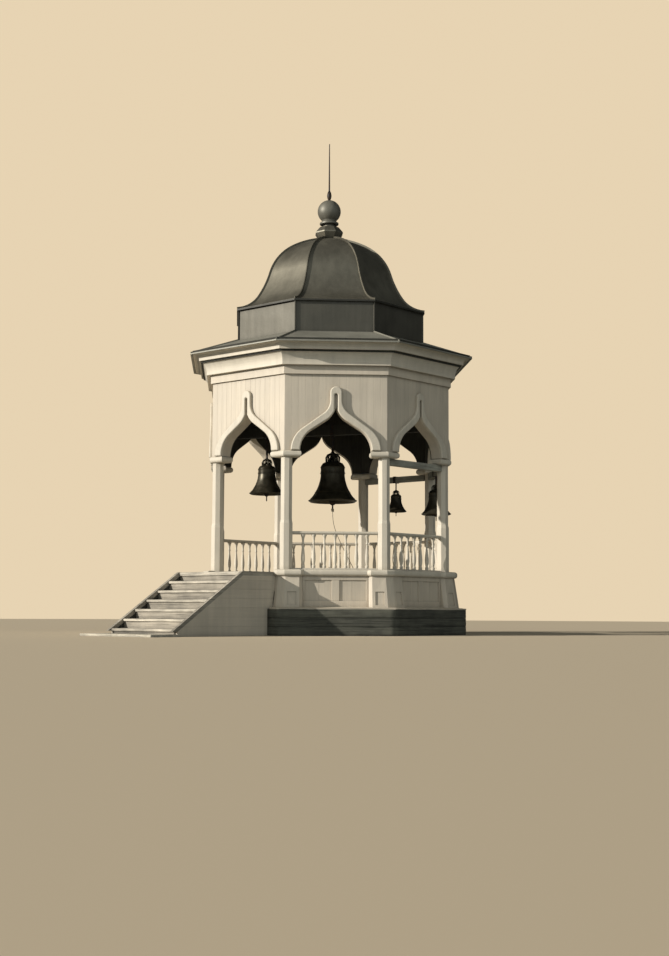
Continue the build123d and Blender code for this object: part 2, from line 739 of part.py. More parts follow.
def bell_table():
    # number, diameter, drop, place in plan, turn of the swing, section and turn of the carrying beam
    main_turn = Rot(0, 0, MAIN_BEAM_TURN)
    main = (MAIN_BEAM_LEVEL, MAIN_BEAM_HEIGHT, MAIN_BEAM_WIDTH)
    tie = (TIE_LEVEL, TIE_HEIGHT, TIE_WIDTH)
    return (
        (1, BELL_1_DIAMETER, BELL_1_DROP, main_turn * Pos(0, -BELL_1_OFFSET, 0), ROPE_TURN - MAIN_BEAM_TURN, main, 0),
        (2, BELL_2_DIAMETER, BELL_2_DROP, main_turn * Pos(0, -BELL_2_OFFSET, 0), 0, main, 0),
        (3, BELL_3_DIAMETER, BELL_3_DROP, Rot(0, 0, BELL_3_SIDE * TURN) * Pos(0, -RAIL_LINE, 0), 0, tie, 90),
        (4, BELL_4_DIAMETER, BELL_4_DROP, Rot(0, 0, BELL_4_SIDE * TURN) * Pos(0, -RAIL_LINE, 0), 0, tie, 90),
    )


# Bell rope
def rope_points():
    place = Rot(0, 0, MAIN_BEAM_TURN) * Pos(0, -BELL_1_OFFSET, 0)
    start = place.position
    side = (sin(radians(ROPE_TURN)), -cos(radians(ROPE_TURN)))
    top = MAIN_BEAM_LEVEL - BELL_1_DROP - TAIL * BELL_1_DIAMETER - ROPE_GAP
    foot = FLOOR_LEVEL + FLOOR_RING_RADIUS * 2 + FLOOR_RING_WIRE * 2 + ROPE_FOOT_GAP
    drops = ((0, 0), (4, 150), (40, 325), (110, 505), (196, 690), (286, 870), (377, 1045), (452, None))
    return [(start.X + side[0] * away, start.Y + side[1] * away, foot if drop is None else top - drop)
            for away, drop in drops]


def rope_radii(points):
    radii = []
    for before, corner, after in zip(points, points[1:], points[2:]):
        first = Vector(*corner) - Vector(*before)
        second = Vector(*after) - Vector(*corner)
        turn = radians(first.get_angle(second))
        radii.append(ROPE_ARC_SHARE * min(first.length, second.length) / tan(turn / 2))
    print("rope radii", [round(radius) for radius in radii])
    return radii


def bell_rope():
    points = rope_points()
    path = FilletPolyline(*points, radius=rope_radii(points))
    section = Plane(path @ 0, z_dir=path % 0) * Circle(ROPE_DIAMETER / 2)
    return sweep(section, path)


def floor_ring():
    foot = rope_points()[-1]
    ring_level = FLOOR_LEVEL + FLOOR_RING_RADIUS + FLOOR_RING_WIRE
    hoop = Rot(0, 0, ROPE_TURN) * (Rot(0, 90, 0) * Torus(FLOOR_RING_RADIUS, FLOOR_RING_WIRE))
    plate = Pos(0, 0, FLOOR_LEVEL + FLOOR_PLATE_THICKNESS / 2) * Cylinder(FLOOR_PLATE_RADIUS, FLOOR_PLATE_THICKNESS)
    plate += Pos(0, 0, ring_level) * hoop
    return Pos(foot[0], foot[1], 0) * (plate & Pos(0, 0, FLOOR_LEVEL + REACH / 2) * Box(REACH, REACH, REACH))


# Stair on the entrance side
def stair_foot(top):
    # where a line that falls with the stair from the landing's edge comes down to the toe
    return LANDING_OUT + (top - STAIR_TOE) * GOING / RISE


def stair_side(face, hand):
    board = extrude(Pos(STAIR_HALF_WIDTH - CHEEK_THICKNESS, 0, 0) * (Plane.YZ * face), CHEEK_THICKNESS)
    return board if hand > 0 else mirror(board, Plane.YZ)


def stair_cheek(hand):
    top = FLOOR_LEVEL - COPING_THICKNESS
    foot = stair_foot(top)
    back = FOUNDATION_OUT + STAIR_GAP
    face = make_face(Polyline(
        (-back, 0), (-foot, 0), (-foot, STAIR_TOE), (-LANDING_OUT, top), (-pier_out(top) - STAIR_GAP, top),
        (-pier_out(FOUNDATION_TOP) - STAIR_GAP, FOUNDATION_TOP), (-back, FOUNDATION_TOP), close=True))
    return stair_side(face, hand)


def stair_coping(hand):
    top = FLOOR_LEVEL
    under = FLOOR_LEVEL - COPING_THICKNESS
    foot = stair_foot(under)
    toe = stair_foot(top)
    face = make_face(Polyline(
        (-pier_out(under) - STAIR_GAP, under), (-LANDING_OUT, under), (-foot, STAIR_TOE), (-toe, STAIR_TOE),
        (-LANDING_OUT, top), (-PIER_TOP_OUT - STAIR_GAP, top), (-PIER_TOP_OUT - STAIR_GAP, SILL_LEVEL), close=True))
    return stair_side(face, hand)


def tread_top(number):
    return FLOOR_LEVEL - RISE * number


def stair_board_half():
    return STAIR_HALF_WIDTH - CHEEK_THICKNESS - STAIR_GAP


def tread(number):
    nose = LANDING_OUT + GOING * number
    back = nose - GOING - NOSING
    middle = tread_top(number) - TREAD_THICKNESS / 2
    return Pos(0, -(nose + back) / 2, middle) * Box(stair_board_half() * 2, nose - back, TREAD_THICKNESS)


def riser(number):
    face = LANDING_OUT + GOING * number - NOSING
    thickness = FLOOR_THICKNESS if number == 0 else TREAD_THICKNESS
    top = tread_top(number) - thickness
    bottom = 0 if number == STEPS else tread_top(number + 1)
    board = Box(stair_board_half() * 2, RISER_THICKNESS, top - bottom)
    return Pos(0, -face + RISER_THICKNESS / 2, (top + bottom) / 2) * board


def landing():
    middle = (LANDING_OUT + WALL_OUT) / 2
    board = Box(stair_board_half() * 2, LANDING_OUT - WALL_OUT, FLOOR_THICKNESS)
    return Pos(0, -middle, FLOOR_LEVEL - FLOOR_THICKNESS / 2) * board


def ground_board():
    near = LAST_RISER_OUT + STAIR_GAP
    half = STAIR_HALF_WIDTH + GROUND_BOARD_OVERHANG
    middle = (near + GROUND_BOARD_OUT) / 2
    return Pos(0, -middle, GROUND_BOARD_THICKNESS / 2) * Box(half * 2, GROUND_BOARD_OUT - near, GROUND_BOARD_THICKNESS)


def save(shape, node):
    export_step(Pos(0, AXIS_SHIFT, 0) * shape, f"parts/{node}.step")


def build():
    for number in range(COURSES):
        save(foundation_course(number), f"foundation_course_{number + 1}")
    save(around(pedestal_pier()), "pedestal_piers")
    save(around(pedestal_panel()), "pedestal_panels")
    save(pedestal_sill(), "pedestal_sill")
    save(floor(), "floor")
    save(around(post()), "posts")
    save(around(capital()), "capitals")
    bay = balustrade()
    for side in range(1, SIDES):
        save(along_side(bay, side), f"balustrade_{side}")
    wall = arch_wall()
    for side in range(SIDES):
        save(along_side(wall, side), f"arch_wall_{side + 1}")
    save(around(lining()), "wall_lining")
    save(around(arch_moulding()), "arch_mouldings")
    save(octagon(WALL_IN - MITRE_GAP, CEILING_LEVEL, CEILING_LEVEL + CEILING_THICKNESS), "ceiling")
    save(around(side_run(slab(WALL_OUT, WALL_OUT + FRIEZE_PROUD, FRIEZE_LEVEL, SOFFIT_LEVEL))), "frieze")
    save(around(crown()), "crown_moulding")
    soffit = slab(WALL_OUT, FASCIA_OUT - FASCIA_THICKNESS, SOFFIT_LEVEL, SOFFIT_LEVEL + SOFFIT_THICKNESS)
    save(around(side_run(soffit)), "soffit")
    save(around(fascia()), "fascia")
    save(around(side_run(roof_slope())), "roof_skirt")
    save(around(side_run(drum())), "drum")
    save(dome(), "dome")
    save(finial_collar(), "finial_collar")
    save(finial_ball(), "finial_ball")
    save(spire(), "spire")
    save(main_beam(), "main_beam")
    save(around(tie_beam(), TIE_SIDES), "tie_beams")
    hangers = []
    for number, size, drop, place, swing, beam, beam_turn in bell_table():
        bottom, height, width = beam
        turned = place * Pos(0, 0, bottom - drop) * Rot(0, 0, swing)
        save(turned * bell(size), f"bell_{number}")
        save(turned * clapper(size), f"clapper_{number}")
        hangers.append(place * Rot(0, 0, beam_turn) * hanger(size, drop, bottom, height, width))
    save(Compound(hangers), "bell_hangers")
    save(bell_rope(), "bell_rope")
    save(floor_ring(), "floor_ring")
    save(landing(), "stair_landing")
    save(stair_cheek(1), "stair_cheek_right")
    save(stair_cheek(-1), "stair_cheek_left")
    save(Compound([stair_coping(hand) for hand in (1, -1)]), "stair_copings")
    save(Compound([tread(number) for number in range(1, STEPS + 1)]), "stair_treads")
    save(Compound([riser(number) for number in range(STEPS + 1)]), "stair_risers")
    save(ground_board(), "ground_board")


if __name__ == "__main__":
    build()
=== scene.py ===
import bpy
import json
from math import cos, pi, radians, sin, sqrt, tan
from mathutils import Matrix, Vector, noise


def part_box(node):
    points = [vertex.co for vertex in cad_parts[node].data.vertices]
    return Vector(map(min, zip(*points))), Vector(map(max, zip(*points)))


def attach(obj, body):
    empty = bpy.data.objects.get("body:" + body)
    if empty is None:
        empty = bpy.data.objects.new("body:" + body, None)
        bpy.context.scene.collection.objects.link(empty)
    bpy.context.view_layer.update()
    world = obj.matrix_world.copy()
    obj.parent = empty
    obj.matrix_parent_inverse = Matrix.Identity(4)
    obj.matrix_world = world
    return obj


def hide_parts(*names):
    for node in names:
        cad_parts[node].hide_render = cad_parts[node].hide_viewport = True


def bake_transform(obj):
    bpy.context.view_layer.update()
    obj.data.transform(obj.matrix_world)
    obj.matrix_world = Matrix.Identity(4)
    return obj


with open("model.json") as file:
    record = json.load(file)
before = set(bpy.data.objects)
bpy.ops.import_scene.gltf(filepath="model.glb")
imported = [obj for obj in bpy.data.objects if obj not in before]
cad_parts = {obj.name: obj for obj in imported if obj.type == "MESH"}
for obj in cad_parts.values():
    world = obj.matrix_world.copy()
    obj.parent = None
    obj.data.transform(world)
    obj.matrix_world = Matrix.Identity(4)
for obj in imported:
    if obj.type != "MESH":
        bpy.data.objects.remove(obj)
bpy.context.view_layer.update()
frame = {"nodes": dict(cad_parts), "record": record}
nodes = frame["nodes"]

# The octagon: side 0 faces -Y and holds the stair, the others follow anticlockwise from above
SIDES = 8
TURN = 360 / SIDES
MITRE = radians(TURN / 2)
MITRE_GAP = 0.001
BALUSTRADE_SIDES = range(1, SIDES)


def low(node):
    return Vector(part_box(node)[0])


def high(node):
    return Vector(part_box(node)[1])


# Sizes read from the frame; side 2 faces +X, so its boxes give distances from the axis
AXIS_Y = (low("dome").y + high("dome").y) / 2
WALL_OUT = high("arch_wall_3").x
WALL_HALF = WALL_OUT * tan(MITRE)
SPRING = low("arch_wall_3").z
FRIEZE = low("frieze").z
FLOOR = high("floor").z
RAIL_TOP = high("balustrade_2").z
RAIL_LINE = (low("balustrade_2").x + high("balustrade_2").x) / 2
RAIL_HALF = (high("balustrade_2").y - low("balustrade_2").y) / 2
FOUNDATION_OUT = high("foundation_course_1").x
COURSE = high("foundation_course_1").z
FOUNDATION_TOP = high("foundation_course_3").z
PANEL_OUT = high("pedestal_panels").x
SILL_LEVEL = high("pedestal_panels").z
PIER_OUT = high("pedestal_piers").x
CHEEK_OUT = high("stair_cheek_right").x
CHEEK_TOP = high("stair_cheek_right").z
LANDING_OUT = AXIS_Y - low("stair_landing").y
STAIR_HALF = high("stair_landing").x
DOME_OUT = high("dome").x
DRUM_OUT = high("drum").x
DRUM_TOP = high("drum").z
ROOF_OUT = high("roof_skirt").x


def on_side(side, along, out, level):
    # a place by its distance along a side, out from the axis and above the ground
    place = Matrix.Rotation(radians(side * TURN), 3, "Z") @ Vector((along, -out, level))
    return place + Vector((0, AXIS_Y, 0))


# Camera, set where the photograph was taken from
PHOTO_HEIGHT = 956
FOCAL_PIXELS = 1430
SHIFT_PIXELS = 2
SENSOR = 36
CAMERA_DISTANCE = 28.49
CAMERA_HEIGHT = 0.448
CAMERA_TURN = 41.4
CAMERA_YAW = 0.343
CAMERA_PITCH = 5.39
CAMERA_ROLL = 0.24


def make_camera():
    data = bpy.data.cameras.new("camera")
    camera = bpy.data.objects.new("camera", data)
    bpy.context.collection.objects.link(camera)
    data.sensor_fit = "VERTICAL"
    data.sensor_height = SENSOR
    data.lens = FOCAL_PIXELS / PHOTO_HEIGHT * SENSOR
    data.shift_x = -SHIFT_PIXELS / PHOTO_HEIGHT
    data.shift_y = -SHIFT_PIXELS / PHOTO_HEIGHT
    turn = radians(CAMERA_TURN)
    place = Vector((CAMERA_DISTANCE * sin(turn), AXIS_Y - CAMERA_DISTANCE * cos(turn), CAMERA_HEIGHT))
    heading = Matrix.Rotation(radians(CAMERA_TURN - CAMERA_YAW), 4, "Z")
    pitch = Matrix.Rotation(radians(90 + CAMERA_PITCH), 4, "X")
    roll = Matrix.Rotation(radians(CAMERA_ROLL), 4, "Z")
    camera.matrix_world = Matrix.Translation(place) @ heading @ pitch @ roll
    bpy.context.scene.camera = camera


# Light, background and floor; the sky is brighter on the side that faces the camera
SUN_TURN = -28
SUN_HEIGHT = 18.5
SUN_SOFTNESS = 0.6
SUN_STRENGTH = 4.1
SUN_COLOUR = (1.0, 0.97, 0.92)
SKY_TURN = 50
SKY_EDGE = 0.2
SKY_COLOUR = (0.90, 0.98, 1.0)
SKY_DIM = 0.02
SKY_BRIGHT = 0.74
PALE = (0.80, 0.655, 0.45)
FLOOR_BOUNCE = (0.20, 0.20, 0.17)
FLOOR_RADIUS = 45
FLOOR_DROP = 0.001
FLOOR_POINTS = 64
FLOOR_ROUGHNESS = 0.9


def make_light():
    data = bpy.data.lights.new("key", "SUN")
    data.energy = SUN_STRENGTH
    data.angle = radians(SUN_SOFTNESS)
    data.color = SUN_COLOUR
    key = bpy.data.objects.new("key", data)
    bpy.context.collection.objects.link(key)
    key.matrix_world = (Matrix.Rotation(radians(SUN_TURN), 4, "Z")
                        @ Matrix.Rotation(radians(90 - SUN_HEIGHT), 4, "X"))
    world = bpy.data.worlds.new("world")
    bpy.context.scene.world = world
    world.use_nodes = True
    tree = world.node_tree
    ambient = tree.nodes["Background"]
    ambient.inputs["Color"].default_value = (*SKY_COLOUR, 1)
    toward = tree.nodes.new("ShaderNodeVectorMath")
    toward.operation = "DOT_PRODUCT"
    toward.inputs[1].default_value = (sin(radians(SKY_TURN)), -cos(radians(SKY_TURN)), 0)
    tree.links.new(tree.nodes.new("ShaderNodeTexCoord").outputs["Generated"], toward.inputs[0])
    strength = tree.nodes.new("ShaderNodeMapRange")
    strength.inputs["From Min"].default_value = SKY_EDGE
    strength.inputs["To Min"].default_value = SKY_DIM
    strength.inputs["To Max"].default_value = SKY_BRIGHT
    tree.links.new(toward.outputs["Value"], strength.inputs["Value"])
    tree.links.new(strength.outputs[0], ambient.inputs["Strength"])
    seen = tree.nodes.new("ShaderNodeBackground")
    seen.inputs["Color"].default_value = (*PALE, 1)
    path = tree.nodes.new("ShaderNodeLightPath")
    either = tree.nodes.new("ShaderNodeMath")
    either.operation = "MAXIMUM"
    tree.links.new(path.outputs["Is Camera Ray"], either.inputs[0])
    tree.links.new(path.outputs["Is Transmission Ray"], either.inputs[1])
    mixed = tree.nodes.new("ShaderNodeMixShader")
    tree.links.new(either.outputs[0], mixed.inputs["Fac"])
    tree.links.new(ambient.outputs[0], mixed.inputs[1])
    tree.links.new(seen.outputs[0], mixed.inputs[2])
    tree.links.new(mixed.outputs[0], tree.nodes["World Output"].inputs["Surface"])
    bpy.context.scene.view_settings.view_transform = "Standard"


def make_floor():
    turns = [2 * pi * n / FLOOR_POINTS for n in range(FLOOR_POINTS)]
    rim = [(FLOOR_RADIUS * cos(turn), FLOOR_RADIUS * sin(turn), -FLOOR_DROP) for turn in turns]
    mesh = bpy.data.meshes.new("studio_floor")
    mesh.from_pydata(rim, [], [list(range(FLOOR_POINTS))])
    floor = bpy.data.objects.new("studio_floor", mesh)
    bpy.context.collection.objects.link(floor)
    look = Finish("studio_floor", FLOOR_ROUGHNESS)
    seen = look.node("ShaderNodeLightPath").outputs["Is Camera Ray"]
    mesh.materials.append(look.done(look.mix(seen, FLOOR_BOUNCE, PALE)))


# Finishes: each is a small tree of nodes round one Principled shader
NOISE_LOW = 0.3
NOISE_HIGH = 0.7
# how open a spot is where the painted shade of the hollows is darkest, and where it ends
OPEN_LOW = 0.25
OPEN_HIGH = 0.95
OCCLUSION_SAMPLES = 8


class Finish:
    def __init__(self, name, roughness=0.6, metallic=0.0):
        self.material = bpy.data.materials.new(name)
        self.material.use_nodes = True
        self.tree = self.material.node_tree
        self.shader = self.tree.nodes["Principled BSDF"]
        self.shader.inputs["Roughness"].default_value = roughness
        self.shader.inputs["Metallic"].default_value = metallic
        self.place = self.node("ShaderNodeTexCoord").outputs["Object"]
        self.normal = None

    def node(self, kind, **settings):
        made = self.tree.nodes.new(kind)
        for name, value in settings.items():
            setattr(made, name, value)
        return made

    def put(self, value, socket):
        if isinstance(value, bpy.types.NodeSocket):
            self.tree.links.new(value, socket)
        elif isinstance(value, tuple) and len(value) == 3 and socket.type == "RGBA":
            socket.default_value = (*value, 1)
        else:
            socket.default_value = value

    def noise(self, stretch, detail=4, roughness=0.5, distortion=0.0):
        # stretch is the number of features in a metre, one for all ways or one for each axis
        mapping = self.node("ShaderNodeMapping")
        self.put(self.place, mapping.inputs["Vector"])
        mapping.inputs["Scale"].default_value = stretch if isinstance(stretch, tuple) else (stretch,) * 3
        made = self.node("ShaderNodeTexNoise")
        self.put(mapping.outputs[0], made.inputs["Vector"])
        made.inputs["Scale"].default_value = 1
        made.inputs["Detail"].default_value = detail
        made.inputs["Roughness"].default_value = roughness
        made.inputs["Distortion"].default_value = distortion
        return made.outputs["Fac"]

    def range(self, value, start, end, low_value, high_value):
        made = self.node("ShaderNodeMapRange")
        self.put(value, made.inputs["Value"])
        made.inputs["From Min"].default_value = start
        made.inputs["From Max"].default_value = end
        made.inputs["To Min"].default_value = low_value
        made.inputs["To Max"].default_value = high_value
        return made.outputs[0]

    def vary(self, value, low_value, high_value):
        # one value where a noise is low and the other where it is high
        return self.range(value, NOISE_LOW, NOISE_HIGH, low_value, high_value)

    def times(self, product, *factors):
        for factor in factors:
            made = self.node("ShaderNodeMath", operation="MULTIPLY")
            self.put(product, made.inputs[0])
            self.put(factor, made.inputs[1])
            product = made.outputs[0]
        return product

    def mix(self, factor, first, second, blend="MIX"):
        made = self.node("ShaderNodeMix", data_type="RGBA", blend_type=blend)
        self.put(factor, made.inputs["Factor"])
        self.put(first, made.inputs[6])
        self.put(second, made.inputs[7])
        return made.outputs[2]

    def shade(self, colour, amount):
        # colour darkened by a factor that varies over the surface
        grey = self.node("ShaderNodeCombineColor")
        for channel in grey.inputs:
            self.put(amount, channel)
        return self.mix(1.0, colour, grey.outputs[0], "MULTIPLY")

    def island(self, spread):
        # another tint for each separate board of a piece
        random = self.node("ShaderNodeNewGeometry").outputs["Random Per Island"]
        return self.range(random, 0, 1, 1 - spread, 1)

    def hollow_shade(self, reach, darkest):
        # painted shade: darker where other surfaces stand within reach, in corners, creases and recesses
        occlusion = self.node("ShaderNodeAmbientOcclusion", samples=OCCLUSION_SAMPLES)
        occlusion.inputs["Distance"].default_value = reach
        return self.range(occlusion.outputs["AO"], OPEN_LOW, OPEN_HIGH, darkest, 1)

    def bump(self, height, distance, strength=1.0):
        made = self.node("ShaderNodeBump")
        made.inputs["Strength"].default_value = strength
        made.inputs["Distance"].default_value = distance
        self.put(height, made.inputs["Height"])
        if self.normal is not None:
            self.put(self.normal, made.inputs["Normal"])
        self.normal = made.outputs[0]

    def done(self, colour, roughness=None):
        self.put(colour, self.shader.inputs["Base Color"])
        if roughness is not None:
            self.put(roughness, self.shader.inputs["Roughness"])
        if self.normal is not None:
            self.put(self.normal, self.shader.inputs["Normal"])
        return self.material


# Paint on boards, worn to bare wood in patches
BARE_WOOD = (0.34, 0.30, 0.24)
WORN_FROM = 0.72
WORN_GAIN = 0.06
WORN_EDGE = 0.04


def paint(name, colour, grain, wear=0.5):
    look = Finish(name)
    fibre = look.noise(grain, 5, 0.6)
    blotch = look.noise(1.3, 3, 0.55)
    run = look.noise((9, 9, 0.7), 4, 0.6)
    # the tone holds painted shade in the hollows, besides the blotches, runs, grain and board tints
    tone = look.times(look.vary(blotch, 0.90, 1.03), look.vary(run, 0.90, 1.02), look.vary(fibre, 0.94, 1.02),
                      look.island(0.08), look.hollow_shade(0.12, 0.6))
    clean = look.shade(colour, tone)
    bare = look.shade(BARE_WOOD, look.vary(fibre, 0.6, 1.1))
    edge = WORN_FROM - WORN_GAIN * wear
    worn = look.range(look.noise((14, 14, 5), 6, 0.7), edge, edge + WORN_EDGE, 0, 0.6)
    look.bump(fibre, 0.0012)
    look.bump(look.noise(90, 2), 0.0004)
    return look.done(look.mix(worn, clean, bare), look.vary(blotch, 0.52, 0.72))


# Unpainted timber with fibres and drying cracks, which are narrower and longer than the fibres
CRACK_ACROSS = 2.2
CRACK_ALONG = 0.6


def raw_timber(name, colour, grain, deep=0.004):
    look = Finish(name, 0.85)
    crack_grain = tuple(scale * (CRACK_ALONG if scale == min(grain) else CRACK_ACROSS) for scale in grain)
    fibre = look.noise(grain, 6, 0.65)
    check = look.noise(crack_grain, 4, 0.7, 0.4)
    blotch = look.noise(2.1, 4, 0.6)
    # the tone holds painted shade in the hollows, besides the grain, blotches and board tints
    tone = look.times(look.vary(fibre, 0.62, 1.2), look.vary(blotch, 0.65, 1.25), look.island(0.25),
                      look.hollow_shade(0.10, 0.4))
    crack = look.range(check, 0.60, 0.66, 1.0, 0.35)
    look.bump(fibre, deep)
    look.bump(crack, deep)
    return look.done(look.shade(colour, look.times(tone, crack)), look.vary(blotch, 0.75, 0.95))


# Dull sheet metal, streaked by rain, with a little rust
RUST = (0.16, 0.11, 0.07)


def sheet_metal(name, colour, metallic):
    look = Finish(name, 0.5, metallic)
    blotch = look.noise(1.6, 5, 0.6)
    streak = look.noise((11, 11, 0.8), 5, 0.6)
    speck = look.noise(60, 3, 0.7)
    # the tone holds painted shade in the hollows, besides the blotches, rain streaks and specks
    tone = look.times(look.vary(blotch, 0.82, 1.10), look.vary(streak, 0.86, 1.06),
                      look.vary(speck, 0.93, 1.05), look.hollow_shade(0.10, 0.5))
    rust = look.range(look.noise((5, 5, 2.2), 6, 0.72), 0.67, 0.75, 0, 0.4)
    look.bump(look.noise(3.2, 2, 0.4), 0.010, 0.5)
    look.bump(speck, 0.0006)
    return look.done(look.mix(rust, look.shade(colour, tone), RUST), look.vary(blotch, 0.46, 0.62))


# Bronze, dark with grime and a little patina, with painted shade in its hollows
BRONZE_DARK = (0.04, 0.035, 0.022)
BRONZE_CLEAN = (0.10, 0.085, 0.055)
PATINA = (0.05, 0.06, 0.04)


def bronze(name):
    look = Finish(name, 0.4, 0.6)
    cloud = look.noise(6, 5, 0.62)
    run = look.noise((22, 22, 2.5), 5, 0.6)
    colour = look.mix(look.range(cloud, 0.35, 0.7, 0.0, 1.0), BRONZE_DARK, BRONZE_CLEAN)
    colour = look.mix(look.range(run, 0.58, 0.72, 0, 0.5), colour, PATINA)
    # painted shade in the hollows
    colour = look.shade(colour, look.hollow_shade(0.05, 0.5))
    look.bump(look.noise(70, 3), 0.0005)
    look.bump(run, 0.0008)
    return look.done(colour, look.vary(cloud, 0.28, 0.46))


# Iron, partly rusted
IRON_DARK = (0.045, 0.042, 0.04)
IRON_RUSTED = (0.11, 0.065, 0.04)


def iron(name):
    look = Finish(name, 0.6, 0.7)
    cloud = look.noise(25, 5, 0.65)
    look.bump(cloud, 0.0012)
    return look.done(look.mix(look.range(cloud, 0.45, 0.65, 0, 1), IRON_DARK, IRON_RUSTED),
                     look.vary(cloud, 0.45, 0.8))


# Hemp of the rope
HEMP_DARK = (0.30, 0.25, 0.17)
HEMP_PALE = (0.52, 0.45, 0.33)


def hemp(name):
    look = Finish(name, 0.9)
    fibre = look.noise((300, 300, 120), 4, 0.7)
    # painted shade in the hollows between the strands
    colour = look.shade(look.mix(look.vary(fibre, 0, 1), HEMP_DARK, HEMP_PALE), look.hollow_shade(0.008, 0.35))
    look.bump(fibre, 0.0006)
    return look.done(colour)


# Looks by name; a node takes its own look, or else the one named as its slot in the record
UPRIGHT = (38, 38, 1.6)
LEVEL = (1.6, 1.6, 38)
ALONG_X = (3, 30, 30)
WALL_PAINT = (0.76, 0.655, 0.505)
TRIM_PAINT = (0.81, 0.715, 0.56)
looks = {
    "painted_boards": paint("painted_boards", WALL_PAINT, UPRIGHT),
    "level_boards": paint("level_boards", WALL_PAINT, LEVEL),
    "painted_trim": paint("painted_trim", TRIM_PAINT, LEVEL, 0.2),
    "upright_trim": paint("upright_trim", TRIM_PAINT, UPRIGHT, 0.2),
    "weathered_timber": raw_timber("weathered_timber", (0.14, 0.135, 0.10), LEVEL, 0.006),
    "weathered_boards": raw_timber("weathered_boards", (0.66, 0.585, 0.46), ALONG_X, 0.002),
    # a darker copy of the stair's boards, painted shade: the risers face the sun and take it to come out
    # about as dark as the treads, and the copings share it
    "shaded_stair_boards": raw_timber("shaded_stair_boards", (0.50, 0.44, 0.345), LEVEL, 0.002),
    "pale_boards": raw_timber("pale_boards", (0.88, 0.78, 0.60), ALONG_X, 0.002),
    # near-black timber; in this script's own pieces it paints shade inside the stair's cheeks and the shadow
    # lines under the fascia and the roof's edge
    "dark_timber": raw_timber("dark_timber", (0.06, 0.055, 0.04), UPRIGHT, 0.002),
    "grey_timber": raw_timber("grey_timber", (0.42, 0.40, 0.32), LEVEL, 0.002),
    "roof_metal": sheet_metal("roof_metal", (0.225, 0.205, 0.155), 0.75),
    "drum_metal": sheet_metal("drum_metal", (0.12, 0.11, 0.085), 0.6),
    # near-black metal, which paints the shadow line round the lip of the dome
    "dark_metal": sheet_metal("dark_metal", (0.05, 0.046, 0.035), 0.4),
    "skirt_metal": sheet_metal("skirt_metal", (0.34, 0.32, 0.255), 0.3),
    "ball_metal": sheet_metal("ball_metal", (0.215, 0.20, 0.155), 0.3),
    "bell_bronze": bronze("bell_bronze"),
    "iron": iron("iron"),
    "rope": hemp("rope"),
}
own_looks = {
    "posts": "upright_trim",
    "arch_mouldings": "upright_trim",
    "frieze": "level_boards",
    "stair_cheek_left": "level_boards",
    "stair_cheek_right": "level_boards",
    # the risers and copings take the darker copy of the stair's boards, painted shade
    "stair_risers": "shaded_stair_boards",
    "stair_copings": "shaded_stair_boards",
    "ground_board": "pale_boards",
    "tie_beams": "grey_timber",
    "finial_ball": "ball_metal",
    "drum": "drum_metal",
    "roof_skirt": "skirt_metal",
}
record_slots = {part["node"]: part["material_slot"] for part in frame["record"]["subparts"]}


def dress_nodes():
    for name, node in nodes.items():
        look = looks[own_looks.get(name, record_slots[name])]
        for place in node.material_slots:
            place.material = look
        if not node.material_slots:
            node.data.materials.append(look)


# Meshes are gathered in a Shape, whose points are given in the frame's own metres
EDGE_ANGLE = 35
CRISP_ANGLE = 20


def circle(centre, first, second, radius, count):
    turns = [2 * pi * n / count for n in range(count)]
    return [centre + radius * (first * cos(turn) + second * sin(turn)) for turn in turns]


class Shape:
    def __init__(self):
        self.points = []
        self.faces = []

    def add(self, points, faces):
        start = len(self.points)
        self.points += [tuple(point) for point in points]
        self.faces += [[start + corner for corner in face] for face in faces]

    def grid(self, rows, closed=False):
        # rows of points with the same count; closed joins the end of each row to its start
        count = len(rows[0])
        faces = []
        for row in range(len(rows) - 1):
            for n in range(count if closed else count - 1):
                after = (n + 1) % count
                this = row * count
                above = this + count
                faces.append((this + n, this + after, above + after, above + n))
        self.add([point for row in rows for point in row], faces)

    def bar(self, rows):
        # closed rows with both ends capped
        self.grid(rows, closed=True)
        count = len(rows[0])
        self.add(rows[0], [list(reversed(range(count)))])
        self.add(rows[-1], [list(range(count))])

    def run(self, section, side, start, end):
        # a section of (out, level) drawn along a side
        self.bar([[on_side(side, along, out, level) for out, level in section] for along in (start, end)])

    def strip(self, section, side):
        # a section drawn along a whole side, whose square ends meet the next ones at the outermost edge
        half = max(out for out, level in section) * tan(MITRE) - MITRE_GAP
        self.run(section, side, -half, half)

    def lathe(self, centre, profile, count=20):
        turns = [2 * pi * n / count for n in range(count)]
        self.grid([[Vector((centre.x + radius * cos(turn), centre.y + radius * sin(turn), centre.z + level))
                    for turn in turns] for radius, level in profile], closed=True)

    def torus(self, centre, axis, radius, wire, count=24, around=8):
        across = axis.orthogonal().normalized()
        other = axis.normalized().cross(across)
        rows = []
        for n in range(count + 1):
            spoke = across * cos(2 * pi * n / count) + other * sin(2 * pi * n / count)
            rows.append(circle(centre + spoke * radius, spoke, axis.normalized(), wire, around))
        self.grid(rows, closed=True)

    def piece(self, name, look, body="tower", smooth=EDGE_ANGLE, replaces=()):
        mesh = bpy.data.meshes.new(name)
        mesh.from_pydata(self.points, [], self.faces)
        mesh.validate()
        mesh.materials.append(looks[look])
        made = bpy.data.objects.new(name, mesh)
        bpy.context.collection.objects.link(made)
        mesh.shade_smooth()
        mesh.set_sharp_from_angle(angle=radians(smooth))
        if body:
            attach(made, body)
        if replaces:
            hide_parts(*replaces)
        return made


